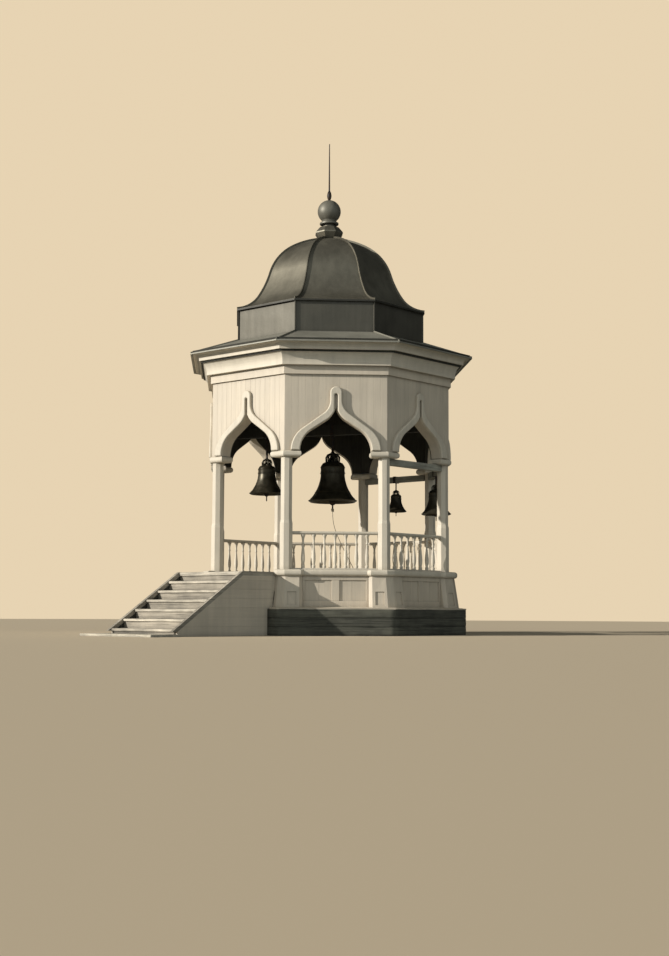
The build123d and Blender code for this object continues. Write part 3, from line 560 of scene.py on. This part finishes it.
# Bell rope, on the route of its solid: distance from the clapper towards the ringer's ring, and drop
ROPE_DIAMETER = 0.014
ROPE_TURN = radians(132)
ROPE_GAP = 0.0003
ROPE_FOOT_GAP = 0.0028
ROPE_DROPS = ((0, 0), (0.004, 0.150), (0.040, 0.325), (0.110, 0.505), (0.196, 0.690), (0.286, 0.870),
              (0.377, 1.045))
ROPE_FOOT_AWAY = 0.452
ROPE_STEPS = 40
STRANDS = 3
STRAND_PITCH = 0.06
STRAND_POINTS = 8


def rope_line(route):
    data = bpy.data.curves.new("rope_line", "CURVE")
    data.dimensions = "3D"
    spline = data.splines.new("NURBS")
    spline.points.add(len(route) - 1)
    for point, place in zip(spline.points, route):
        point.co = (*place, 1)
    spline.order_u = 3
    spline.use_endpoint_u = True
    spline.resolution_u = ROPE_STEPS
    holder = bpy.data.objects.new("rope_line", data)
    line = [vertex.co.copy() for vertex in bpy.data.meshes.new_from_object(holder).vertices]
    bpy.data.objects.remove(holder)
    return line


def rope_strands(line, side):
    strand = ROPE_DIAMETER / 2 / (1 + 1 / sin(pi / STRANDS))
    offset = ROPE_DIAMETER / 2 - strand
    shape = Shape()
    for number in range(STRANDS):
        rows = []
        run = 0
        for n, point in enumerate(line):
            before = line[max(n - 1, 0)]
            along = (line[min(n + 1, len(line) - 1)] - before).normalized()
            run += (point - before).length
            across = along.cross(side)
            angle = 2 * pi * (run / STRAND_PITCH + number / STRANDS)
            middle = point + offset * (side * cos(angle) + across * sin(angle))
            rows.append(circle(middle, side, across, strand, STRAND_POINTS))
        shape.bar(rows)
    return shape.piece("bell_rope_strands", "rope", body=None, replaces=("bell_rope",))


# Lashing round the tail of the clapper; its start, pitch and depth are in rope diameters
LASHING_TURNS = 5
LASHING_START = 0.3
LASHING_PITCH = 0.9
LASHING_DEPTH = 0.45
LASHING_ROD = 0.0155
LASHING_LEAN = (0.06, 0.04, 1)
EYE_RADIUS = 0.011
EYE_LIFT = 0.004


def rope_lashing(start, heading):
    shape = Shape()
    rod = low("clapper_1").z
    for turn in range(LASHING_TURNS):
        level = rod + ROPE_DIAMETER * (LASHING_START + LASHING_PITCH * turn)
        shape.torus(Vector((start.x, start.y, level)), Vector(LASHING_LEAN),
                    LASHING_ROD + ROPE_DIAMETER * LASHING_DEPTH, ROPE_DIAMETER / 2)
    shape.torus(start + Vector((0, 0, EYE_LIFT)), heading, EYE_RADIUS, ROPE_DIAMETER / 2)
    shape.piece("rope_lashing", "rope", body="clapper_1")


# Knot at the foot: an eye through the ring in the floor and turns round the rope, which leans as the
# last points of its line do, KNOT_REACH of them
KNOT_TURNS = 3
KNOT_RADIUS = 0.0125
KNOT_PITCH = 0.012
KNOT_LEAN = 0.1
KNOT_REACH = 8
KNOT_EYE = 0.0135
KNOT_EYE_DROP = 0.006


def rope_knot(line, foot, heading):
    shape = Shape()
    wire = Vector((foot.x, foot.y, high("floor_ring").z - KNOT_EYE_DROP))
    shape.torus(wire, heading, KNOT_EYE, ROPE_DIAMETER / 2)
    lean = (line[-KNOT_REACH] - line[-1]).normalized()
    for turn in range(KNOT_TURNS):
        axis = lean + Vector((KNOT_LEAN, KNOT_LEAN * (turn - 1), 0))
        shape.torus(foot + lean * KNOT_PITCH * (turn + 1), axis, KNOT_RADIUS, ROPE_DIAMETER / 2)
    return shape.piece("rope_knot", "rope")


def rope():
    tail = (low("clapper_1") + high("clapper_1")) / 2
    heading = Vector((sin(ROPE_TURN), -cos(ROPE_TURN), 0))
    start = Vector((tail.x, tail.y, low("clapper_1").z - ROPE_GAP))
    route = [start + heading * away - Vector((0, 0, drop)) for away, drop in ROPE_DROPS]
    foot = start + heading * ROPE_FOOT_AWAY
    foot.z = high("floor_ring").z + ROPE_FOOT_GAP
    line = rope_line([*route, foot])
    tube = rope_strands(line, heading.cross(Vector((0, 0, 1))))
    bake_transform(tube)
    rope_lashing(start, heading)
    foot_knot = rope_knot(line, foot, heading)


# Keel arch, as in the walls: an arc, a straight slope and a reverse arc up to the tip
ARCH_HALF_SPAN = 0.66
ARCH_LOW_RADIUS = 0.46
ARCH_LOW_TURN = radians(57)
ARCH_HIGH_RADIUS = 0.43
ARCH_HIGH_TURN = radians(42)


def arch_height(along):
    across = abs(along)
    slope = pi / 2 - ARCH_LOW_TURN
    steep = slope + ARCH_HIGH_TURN
    low_end = ARCH_HALF_SPAN - ARCH_LOW_RADIUS * (1 - cos(ARCH_LOW_TURN))
    low_rise = ARCH_LOW_RADIUS * sin(ARCH_LOW_TURN)
    high_start = ARCH_HIGH_RADIUS * (sin(steep) - sin(slope))
    if across >= ARCH_HALF_SPAN:
        return 0
    if across > low_end:
        return sqrt(ARCH_LOW_RADIUS ** 2 - (across - ARCH_HALF_SPAN + ARCH_LOW_RADIUS) ** 2)
    if across > high_start:
        return low_rise + (low_end - across) * tan(slope)
    middle_rise = low_rise + (low_end - high_start) * tan(slope)
    sine = sin(slope) + (high_start - across) / ARCH_HIGH_RADIUS
    return middle_rise + ARCH_HIGH_RADIUS * (cos(slope) - sqrt(1 - sine ** 2))


# Upright boards with a fine chamfered joint on the outside of each wall
BOARDS = 15
BOARD_PARTS = 4
BOARD_PROUD = 0.0025
BOARD_CHAMFER = 0.0025
UNDER_TRIM = 0.04


def board_plan(start, width, parts=2):
    # across one board: (place, how far its face stands out)
    inner = [(start + width * n / parts, BOARD_PROUD) for n in range(1, parts)]
    return [(start, 0), (start + BOARD_CHAMFER, BOARD_PROUD), *inner,
            (start + width - BOARD_CHAMFER, BOARD_PROUD), (start + width, 0)]


def wall_boards(side):
    shape = Shape()
    width = 2 * WALL_HALF / BOARDS
    for number in range(BOARDS):
        plan = board_plan(-WALL_HALF + number * width, width, BOARD_PARTS)
        foot = []
        for along, proud in plan:
            lift = arch_height(along)
            foot.append(on_side(side, along, WALL_OUT + proud, SPRING + lift + (UNDER_TRIM if lift else 0)))
        head = [on_side(side, along, WALL_OUT + proud, FRIEZE) for along, proud in plan]
        shape.grid([foot, head])
    shape.piece(f"wall_boards_{side + 1}", "painted_boards", smooth=CRISP_ANGLE)


# Balustrades: turned balusters between a moulded hand rail and a foot rail
BALUSTER_STEPS = 8
HAND_RAIL = ((0, 0), (0.034, 0), (0.034, 0.012), (0.050, 0.020), (0.050, 0.044), (0.040, 0.056),
             (0.018, 0.060))
FOOT_RAIL = ((0, 0), (0.040, 0), (0.040, 0.062), (0.028, 0.080))
BALUSTER = ((0.034, 0), (0.034, 0.075), (0.029, 0.085), (0.023, 0.10), (0.029, 0.15), (0.036, 0.22),
            (0.038, 0.28), (0.036, 0.36), (0.031, 0.45), (0.025, 0.55), (0.019, 0.65), (0.017, 0.70),
            (0.024, 0.715), (0.026, 0.735), (0.024, 0.755), (0.019, 0.77), (0.020, 0.84), (0.026, 0.90),
            (0.034, 0.94), (0.042, 0.965), (0.042, 1.0))


def mirrored(section):
    return [(-out, level) for out, level in reversed(section) if out] + list(section)


def balustrade(side):
    shape = Shape()
    rail_base = RAIL_TOP - HAND_RAIL[-1][1]
    foot_top = FLOOR + FOOT_RAIL[-1][1]
    rail = [(RAIL_LINE + out, rail_base + level) for out, level in mirrored(HAND_RAIL)]
    foot = [(RAIL_LINE + out, FLOOR + level) for out, level in mirrored(FOOT_RAIL)]
    shape.run(rail, side, -RAIL_HALF, RAIL_HALF)
    shape.run(foot, side, -RAIL_HALF, RAIL_HALF)
    step = 2 * RAIL_HALF / BALUSTER_STEPS
    height = rail_base - foot_top
    profile = [(radius, share * height) for radius, share in BALUSTER]
    for number in range(1, BALUSTER_STEPS):
        shape.lathe(on_side(side, -RAIL_HALF + step * number, RAIL_LINE, foot_top), profile)
    shape.piece(f"balustrade_turned_{side}", "painted_trim", replaces=(f"balustrade_{side}",))


# Foundation of hewn timbers, cut off at the corners; all but the inner face is roughened by noise
COURSES = 3
TIMBER_WIDTH = 0.2
TIMBER_STEPS = 40
TIMBER_JOINT = 0.002
TIMBER_JOINT_DEPTH = 0.05
TIMBER_ROUND = 0.005
TIMBER_BEVEL = 0.055
TIMBER_LEVELS = (0.25, 0.4, 0.55, 0.7, 0.85)
TIMBER_CORE = 0.01
ROUGH = 0.014
ROUGH_COARSE = 0.5
ROUGH_FINE = 0.35
ROUGH_FINENESS = 4.3
ROUGH_ALONG = 1.7
ROUGH_UP = 9
ROUGH_SIDE = 7.3
ROUGH_COURSE = 3.1
HEWN_ANGLE = 50


def timber_section(bottom, top):
    inner = FOUNDATION_OUT - TIMBER_WIDTH
    groove = FOUNDATION_OUT - TIMBER_JOINT_DEPTH
    return [(inner, bottom), (FOUNDATION_OUT - TIMBER_ROUND, bottom), (FOUNDATION_OUT, bottom + TIMBER_ROUND),
            *((FOUNDATION_OUT, bottom + COURSE * part) for part in TIMBER_LEVELS),
            (FOUNDATION_OUT, top - TIMBER_ROUND), (FOUNDATION_OUT - TIMBER_ROUND, top - TIMBER_JOINT),
            (groove, top - TIMBER_JOINT), (groove, top), (inner, top)]


def hewn_out(along, out, level, side, number):
    seed = Vector((along * ROUGH_ALONG + side * ROUGH_SIDE, level * ROUGH_UP, number * ROUGH_COURSE))
    coarse = ROUGH_COARSE + ROUGH_COARSE * noise.noise(seed)
    fine = ROUGH_FINE * noise.noise(seed * ROUGH_FINENESS)
    corner = max(0, abs(along) + TIMBER_BEVEL / 2 / cos(MITRE) - out * tan(MITRE)) * cos(MITRE)
    return out - max(ROUGH * (coarse + fine), 0) - corner


def foundation(number):
    shape = Shape()
    core = FOUNDATION_OUT - TIMBER_WIDTH + TIMBER_CORE
    section = timber_section(number * COURSE, number * COURSE + COURSE)
    for side in range(SIDES):
        rows = []
        for step in range(TIMBER_STEPS + 1):
            share = 2 * step / TIMBER_STEPS - 1
            row = []
            for out, level in section:
                along = share * (out * tan(MITRE) - MITRE_GAP)
                face = hewn_out(along, out, level, side, number) if out > core else out
                row.append(on_side(side, along, face, level))
            rows.append(row)
        shape.bar(rows)
    shape.piece(f"hewn_course_{number + 1}", "weathered_timber", smooth=HEWN_ANGLE,
                replaces=(f"foundation_course_{number + 1}",))


# Water board on the foundation, sloped to shed rain; on side 0 the stair leaves only its ends
WATER_BOARD_LOW = 0.018
WATER_BOARD_HIGH = 0.045
WATER_BOARD_LAP = 0.002
WATER_BOARD_FOOT = 0.012
WATER_BOARD_SINK = 0.006
WATER_BOARD_EDGE = 0.004
WATER_BOARD_STAIR = 0.83


def water_board():
    shape = Shape()
    inner = PANEL_OUT - WATER_BOARD_LAP
    section = ((inner, FOUNDATION_TOP),
               (FOUNDATION_OUT - WATER_BOARD_FOOT, FOUNDATION_TOP - WATER_BOARD_SINK),
               (FOUNDATION_OUT - WATER_BOARD_EDGE, FOUNDATION_TOP + WATER_BOARD_LOW),
               (inner, FOUNDATION_TOP + WATER_BOARD_HIGH))
    half = {out: out * tan(MITRE) - MITRE_GAP for out, level in section}
    for side in range(SIDES):
        for start, end in ((-1, 1),) if side else ((-1, -WATER_BOARD_STAIR), (WATER_BOARD_STAIR, 1)):
            shape.bar([[on_side(side, share * half[out], out, level) for out, level in section]
                       for share in (start, end)])
    shape.piece("water_board", "level_boards", smooth=CRISP_ANGLE)


# Pedestal panels: two fields in a frame on each side, each field of two boards
PIER_ARM = 0.345
PIER_GAP = 0.0005
PANEL_THICKNESS = 0.06
PANEL_RECESS = 0.020
FIELD_JOINT = 0.005
STILE_MIDDLE = 0.140
STILE_END = 0.045
RAIL_HIGH = 0.075
RAIL_LOW = 0.150
FRAME_EDGE = 0.004


def frame_member(shape, side, start, end, bottom, top):
    back = PANEL_OUT - PANEL_RECESS - FRAME_EDGE
    rows = []
    for inset, out in ((0, back), (0, PANEL_OUT - FRAME_EDGE), (FRAME_EDGE, PANEL_OUT)):
        corners = ((start + inset, bottom + inset), (end - inset, bottom + inset), (end - inset, top - inset),
                   (start + inset, top - inset))
        rows.append([on_side(side, along, out, level) for along, level in corners])
    shape.bar(rows)


def panel_section(face):
    back = PANEL_OUT - PANEL_THICKNESS
    return (back, FOUNDATION_TOP), (face, FOUNDATION_TOP), (face, SILL_LEVEL), (back, SILL_LEVEL)


def pedestal_panels():
    shape = Shape()
    half = WALL_HALF - PIER_ARM - PIER_GAP
    face = PANEL_OUT - PANEL_RECESS
    bottom = FOUNDATION_TOP + RAIL_LOW
    top = SILL_LEVEL - RAIL_HIGH
    middle = STILE_MIDDLE / 2
    for side in range(SIDES):
        for start, end in ((-half, 0), (0, half)):
            joint = (start + end) / 2
            shape.run(panel_section(face), side, start, joint - FIELD_JOINT / 2)
            shape.run(panel_section(face), side, joint + FIELD_JOINT / 2, end)
        shape.run(panel_section(face - FIELD_JOINT), side, -half, half)
        frame_member(shape, side, -half, half, FOUNDATION_TOP, bottom)
        frame_member(shape, side, -half, half, top, SILL_LEVEL)
        for start, end in ((-half, STILE_END - half), (-middle, middle), (half - STILE_END, half)):
            frame_member(shape, side, start, end, bottom, top)
    shape.piece("framed_panels", "painted_boards", smooth=CRISP_ANGLE,
                replaces=("pedestal_panels",))


# The stair, whose cheeks slope down from the landing to an upright toe
STEPS = 6
FIRST_RISE = 0.13
GOING = 0.267
NOSING = 0.03
TREAD = 0.045
STAIR_TOE = 0.085
RISE = (FLOOR - FIRST_RISE) / STEPS
STAIR_SLOPE = RISE / GOING


def stair_out(level):
    # how far from the axis the sloping edge of a cheek is at a level
    return LANDING_OUT + (CHEEK_TOP - level) / STAIR_SLOPE


# Level boards on the outside of the stair's cheeks
STAIR_TOE_OUT = stair_out(STAIR_TOE)
CHEEK_BOARD = 0.164
CHEEK_START = 0.004
CHEEK_END = 0.01
CHEEK_GAP = 0.001
CHEEK_STEP = 0.05


def cheek_boards(hand, word):
    shape = Shape()
    level = CHEEK_START
    while level < CHEEK_TOP - CHEEK_END:
        top = min(level + CHEEK_BOARD, CHEEK_TOP)
        foot_out = min(stair_out(level), STAIR_TOE_OUT)
        head_out = min(stair_out(top), foot_out)
        inner = (FOUNDATION_OUT if top < FOUNDATION_TOP + CHEEK_STEP else PIER_OUT) + CHEEK_GAP
        rows = []
        for z, proud, out in ((level, 0, foot_out), (level + BOARD_CHAMFER, BOARD_PROUD, foot_out),
                              (top - BOARD_CHAMFER, BOARD_PROUD, head_out), (top, 0, head_out)):
            rows.append([Vector((hand * (CHEEK_OUT + proud), AXIS_Y - inner, z)),
                         Vector((hand * (CHEEK_OUT + proud), AXIS_Y - out, z))])
        shape.grid(rows)
        level = top
    shape.piece(f"cheek_boards_{word}", "level_boards", smooth=CRISP_ANGLE)


# A dark sheet on the inside of the cheeks, painted shade seen in the corners between the steps
SHADE_SHEET_HALF = 0.003
SHADE_SHEET_FOOT = 0.01


def cheek_shade_sheet(hand, word):
    shape = Shape()
    inner = LANDING_OUT - NOSING
    top = CHEEK_TOP - 2 * BOARD_CHAMFER
    outline = ((inner, SHADE_SHEET_FOOT), (STAIR_TOE_OUT, SHADE_SHEET_FOOT), (STAIR_TOE_OUT, STAIR_TOE - BOARD_CHAMFER),
               (LANDING_OUT, top), (inner, top))
    shape.bar([[Vector((hand * across, AXIS_Y - out, level)) for out, level in outline]
               for across in (STAIR_HALF - SHADE_SHEET_HALF, STAIR_HALF + SHADE_SHEET_HALF)])
    shape.piece(f"cheek_shade_sheet_{word}", "dark_timber", smooth=CRISP_ANGLE)


# Treads and landing of worn boards with rounded edges
STEP_BOARDS = 2
LANDING_BOARDS = 6
BOARD_ROUND = 0.006
NOSE_ROUND = 0.016
ROUND_SHARE = 0.3
BOARD_SEAM = 0.004
BOARD_WEAR = 0.0015
WEAR_STAGES = 3


def step_board(shape, inner, outer, bottom, top, nose):
    big = NOSE_ROUND if nose else BOARD_ROUND
    small = big * ROUND_SHARE
    section = ((inner, bottom), (outer, bottom), (outer, top - big), (outer - small, top - small),
               (outer - big, top), (inner + BOARD_ROUND, top), (inner, top - BOARD_ROUND))
    shape.run(section, 0, -STAIR_HALF, STAIR_HALF)


def stair_boards():
    shape = Shape()
    depth = (GOING + NOSING) / STEP_BOARDS
    for number in range(1, STEPS + 1):
        top = FLOOR - RISE * number
        for board in range(STEP_BOARDS):
            last = board == STEP_BOARDS - 1
            inner = LANDING_OUT + GOING * (number - 1) - NOSING + depth * board
            outer = inner + depth - (0 if last else BOARD_SEAM)
            worn = BOARD_WEAR * ((number * STEP_BOARDS + board) % WEAR_STAGES)
            step_board(shape, inner, outer, top - TREAD, top - worn, last)
    shape.piece("step_boards", "weathered_boards", replaces=("stair_treads",))
    shape = Shape()
    depth = (LANDING_OUT - WALL_OUT) / LANDING_BOARDS
    for board in range(LANDING_BOARDS):
        last = board == LANDING_BOARDS - 1
        inner = WALL_OUT + depth * board
        outer = inner + depth - (0 if last else BOARD_SEAM)
        worn = BOARD_WEAR * (board % WEAR_STAGES)
        step_board(shape, inner, outer, low("stair_landing").z, FLOOR - worn, last)
    shape.piece("landing_boards", "weathered_boards", replaces=("stair_landing",))


# Floor boards inside, which run along Y
FLOOR_BOARD = 0.15
FLOOR_GAP = 0.002


def floor_boards():
    shape = Shape()
    edge = WALL_OUT - FLOOR_GAP
    count = round(2 * edge / FLOOR_BOARD)
    width = 2 * edge / count
    for number in range(count):
        rows = [[], []]
        for across, proud in board_plan(-edge + number * width, width):
            reach = min(edge, edge * sqrt(2) - abs(across))
            rows[0].append(Vector((across, AXIS_Y - reach, FLOOR + proud)))
            rows[1].append(Vector((across, AXIS_Y + reach, FLOOR + proud)))
        shape.grid(rows)
    shape.piece("floor_boards", "weathered_boards", smooth=CRISP_ANGLE)


# Standing seams on the hips of the dome, the drum and the roof
SEAM_HALF = 0.009
DOME_SEAM = 0.036
DRUM_SEAM = 0.032
ROOF_SEAM = 0.024
DRUM_SEAM_FOOT = 0.01
ROOF_SEAM_END = 0.004
DOME_LIP_HEIGHT = 0.03
DOME_START_SLOPE = 9
DOME_TOP_OUT = 0.203
DOME_ARCS = ((0.383, -49), (1.21, -16), (0.626, 44), (1.125, 17))
ARC_STEPS = 10
ROOF_PITCH = 20.3
ROOF_TUCK = 0.04


def dome_line():
    # the hip line as (distance from the axis, level, slope), on tangent arcs from the lip to the collar
    slope = radians(DOME_START_SLOPE)
    unit = 0
    for share, turn in DOME_ARCS:
        unit += share * abs(sin(slope - radians(turn)) - sin(slope))
        slope -= radians(turn)
    out = DOME_OUT
    level = DRUM_TOP + DOME_LIP_HEIGHT
    slope = radians(DOME_START_SLOPE)
    line = [(out, level, slope)]
    for share, turn in DOME_ARCS:
        radius = share * (DOME_OUT - DOME_TOP_OUT) / unit
        bend = 1 if turn < 0 else -1
        for step in range(1, ARC_STEPS + 1):
            angle = slope - radians(turn) * step / ARC_STEPS
            line.append((out - bend * radius * (sin(angle) - sin(slope)),
                         level - bend * radius * (cos(angle) - cos(slope)), angle))
        out, level, slope = line[-1]
    return line


def hip_seams(name, line, height, look):
    shape = Shape()
    for side in range(SIDES):
        rows = []
        for out, level, slope in line:
            raised = out + height * sin(slope)
            above = level + height * cos(slope)
            lean = out * tan(MITRE) - SEAM_HALF
            lean_raised = raised * tan(MITRE) - SEAM_HALF
            rows.append([on_side(side, lean, out, level),
                         on_side(side, lean_raised, raised, above),
                         on_side(side + 1, -lean_raised, raised, above),
                         on_side(side + 1, -lean, out, level)])
        shape.bar(rows)
    shape.piece(name, look)


def metal_seams():
    hip_seams("dome_seams", dome_line(), DOME_SEAM, "roof_metal")
    upright = pi / 2
    foot = low("drum").z + DRUM_SEAM_FOOT
    hip_seams("drum_seams", [(DRUM_OUT, foot, upright), (DRUM_OUT, DRUM_TOP, upright)], DRUM_SEAM,
              "drum_metal")
    slope = radians(ROOF_PITCH)
    eave = high("roof_skirt").z - (ROOF_OUT - DRUM_OUT + ROOF_TUCK) * tan(slope)
    head = eave + (ROOF_OUT - DRUM_OUT) * tan(slope)
    hip_seams("roof_seams", [(ROOF_OUT - ROOF_SEAM_END, eave, slope), (DRUM_OUT, head, slope)], ROOF_SEAM,
              "skirt_metal")


# Seat under the ball, a disc on the saucer that narrows up to the ball
BALL_RADIUS = 0.235
SEAT = ((0.0, 0.0), (0.182, 0.0), (0.192, 0.010), (0.192, 0.036), (0.176, 0.048), (0.150, 0.056),
        (0.143, 0.072), (0.150, 0.094), (0.0, 0.094))
SEAT_GAP = 0.001
SEAT_POINTS = 48
SEAT_ANGLE = 40


def ball_seat():
    shape = Shape()
    middle = (low("finial_ball") + high("finial_ball")) / 2
    neck = sqrt(BALL_RADIUS ** 2 - SEAT[-2][0] ** 2)
    foot = Vector((middle.x, middle.y, middle.z - neck - SEAT[-1][1] - SEAT_GAP))
    shape.lathe(foot, SEAT, SEAT_POINTS)
    shape.piece("ball_seat", "ball_metal", smooth=SEAT_ANGLE)


# Painted shadow: a dark strip round the lip of the dome, for the shadow line along its edge
STRIP_PROUD = 0.003
LIP_DROP = 0.006
LIP_DEPTH = 0.01
LIP_FALL = 0.002


def dome_lip_shadow():
    shape = Shape()
    inner = DOME_OUT - LIP_DEPTH
    outer = DOME_OUT + STRIP_PROUD
    bottom = DRUM_TOP - LIP_DROP
    top = DRUM_TOP + DOME_LIP_HEIGHT
    for side in range(SIDES):
        shape.strip(((inner, bottom), (outer, bottom), (outer, top - LIP_FALL), (inner, top)), side)
    shape.piece("dome_lip_shadow", "dark_metal", smooth=CRISP_ANGLE)


# Painted shadow: dark strips along the top edges of the crown moulding and the fascia, for the shadow lines
# under the fascia and under the roof's edge
SHADOW_STRIP_HEIGHT = 0.034
SHADOW_STRIP_DEPTH = 0.03


def shadow_strip(name, node):
    shape = Shape()
    outer = high(node).x + STRIP_PROUD
    inner = outer - SHADOW_STRIP_DEPTH
    top = high(node).z
    bottom = top - SHADOW_STRIP_HEIGHT
    for side in range(SIDES):
        shape.strip(((inner, bottom), (outer, bottom), (outer, top), (inner, top)), side)
    shape.piece(name, "dark_timber", smooth=CRISP_ANGLE)


# Raised bands round each bell, as shares of its diameter: radius, level above the lip and thickness
BELL_SIZES = (0.968, 0.707, 0.45, 0.6)
BELL_BANDS = ((0.494, 0.036, 0.010), (0.452, 0.082, 0.006), (0.362, 0.205, 0.008), (0.344, 0.235, 0.006),
              (0.257, 0.60, 0.007), (0.2535, 0.63, 0.005), (0.248, 0.725, 0.010), (0.206, 0.802, 0.007))
BAND_POINTS = 64
BAND_AROUND = 6


def bell_base(number):
    bottom = low(f"bell_{number}")
    middle = (bottom + high(f"bell_{number}")) / 2
    return Vector((middle.x, middle.y, bottom.z))


def bell_bands(number, size):
    shape = Shape()
    base = bell_base(number)
    upward = Vector((0, 0, 1))
    for radius, level, thick in BELL_BANDS:
        centre = base + upward * level * size
        shape.torus(centre, upward, radius * size, thick * size, BAND_POINTS, BAND_AROUND)
    shape.piece(f"bell_bands_{number}", "bell_bronze")


# Canons: the bent arms over the crown of each bell, and the head that gathers them
CANONS = 6
CANON = ((0.105, 0.80), (0.135, 0.86), (0.138, 0.93), (0.105, 0.985), (0.055, 1.005), (0.02, 0.99))
CANON_WIRE = 0.021
CANON_POINTS = 8
CANON_HEAD = ((0.0, 0.96), (0.045, 0.97), (0.056, 1.0), (0.05, 1.03), (0.034, 1.045), (0.0, 1.045))
CANON_ANGLE = 60


def bell_canons(number, size):
    shape = Shape()
    base = bell_base(number)
    for arm in range(CANONS):
        turn = 2 * pi * (arm + 0.5) / CANONS
        spoke = Vector((cos(turn), sin(turn), 0))
        across = Vector((-sin(turn), cos(turn), 0))
        rows = []
        for n, (radius, level) in enumerate(CANON):
            before = CANON[max(n - 1, 0)]
            after = CANON[min(n + 1, len(CANON) - 1)]
            along = (spoke * (after[0] - before[0]) + Vector((0, 0, after[1] - before[1]))).normalized()
            centre = base + (spoke * radius + Vector((0, 0, level))) * size
            rows.append(circle(centre, across, along.cross(across), CANON_WIRE * size, CANON_POINTS))
        shape.bar(rows)
    shape.lathe(base, [(radius * size, level * size) for radius, level in CANON_HEAD])
    shape.piece(f"bell_canons_{number}", "bell_bronze", smooth=CANON_ANGLE)


make_camera()
rope()
make_light()
make_floor()
dress_nodes()
for side in range(SIDES):
    wall_boards(side)
for side in BALUSTRADE_SIDES:
    balustrade(side)
for number in range(COURSES):
    foundation(number)
water_board()
pedestal_panels()
cheek_boards(1, "right")
cheek_boards(-1, "left")
# painted shade inside the stair's cheeks
cheek_shade_sheet(1, "right")
cheek_shade_sheet(-1, "left")
stair_boards()
floor_boards()
metal_seams()
ball_seat()
# painted shadow line round the lip of the dome
dome_lip_shadow()
# painted shadow lines under the fascia and under the roof's edge
shadow_strip("crown_shadow_strip", "crown_moulding")
shadow_strip("fascia_shadow_strip", "fascia")
for number, size in enumerate(BELL_SIZES, 1):
    bell_bands(number, size)
    bell_canons(number, size)
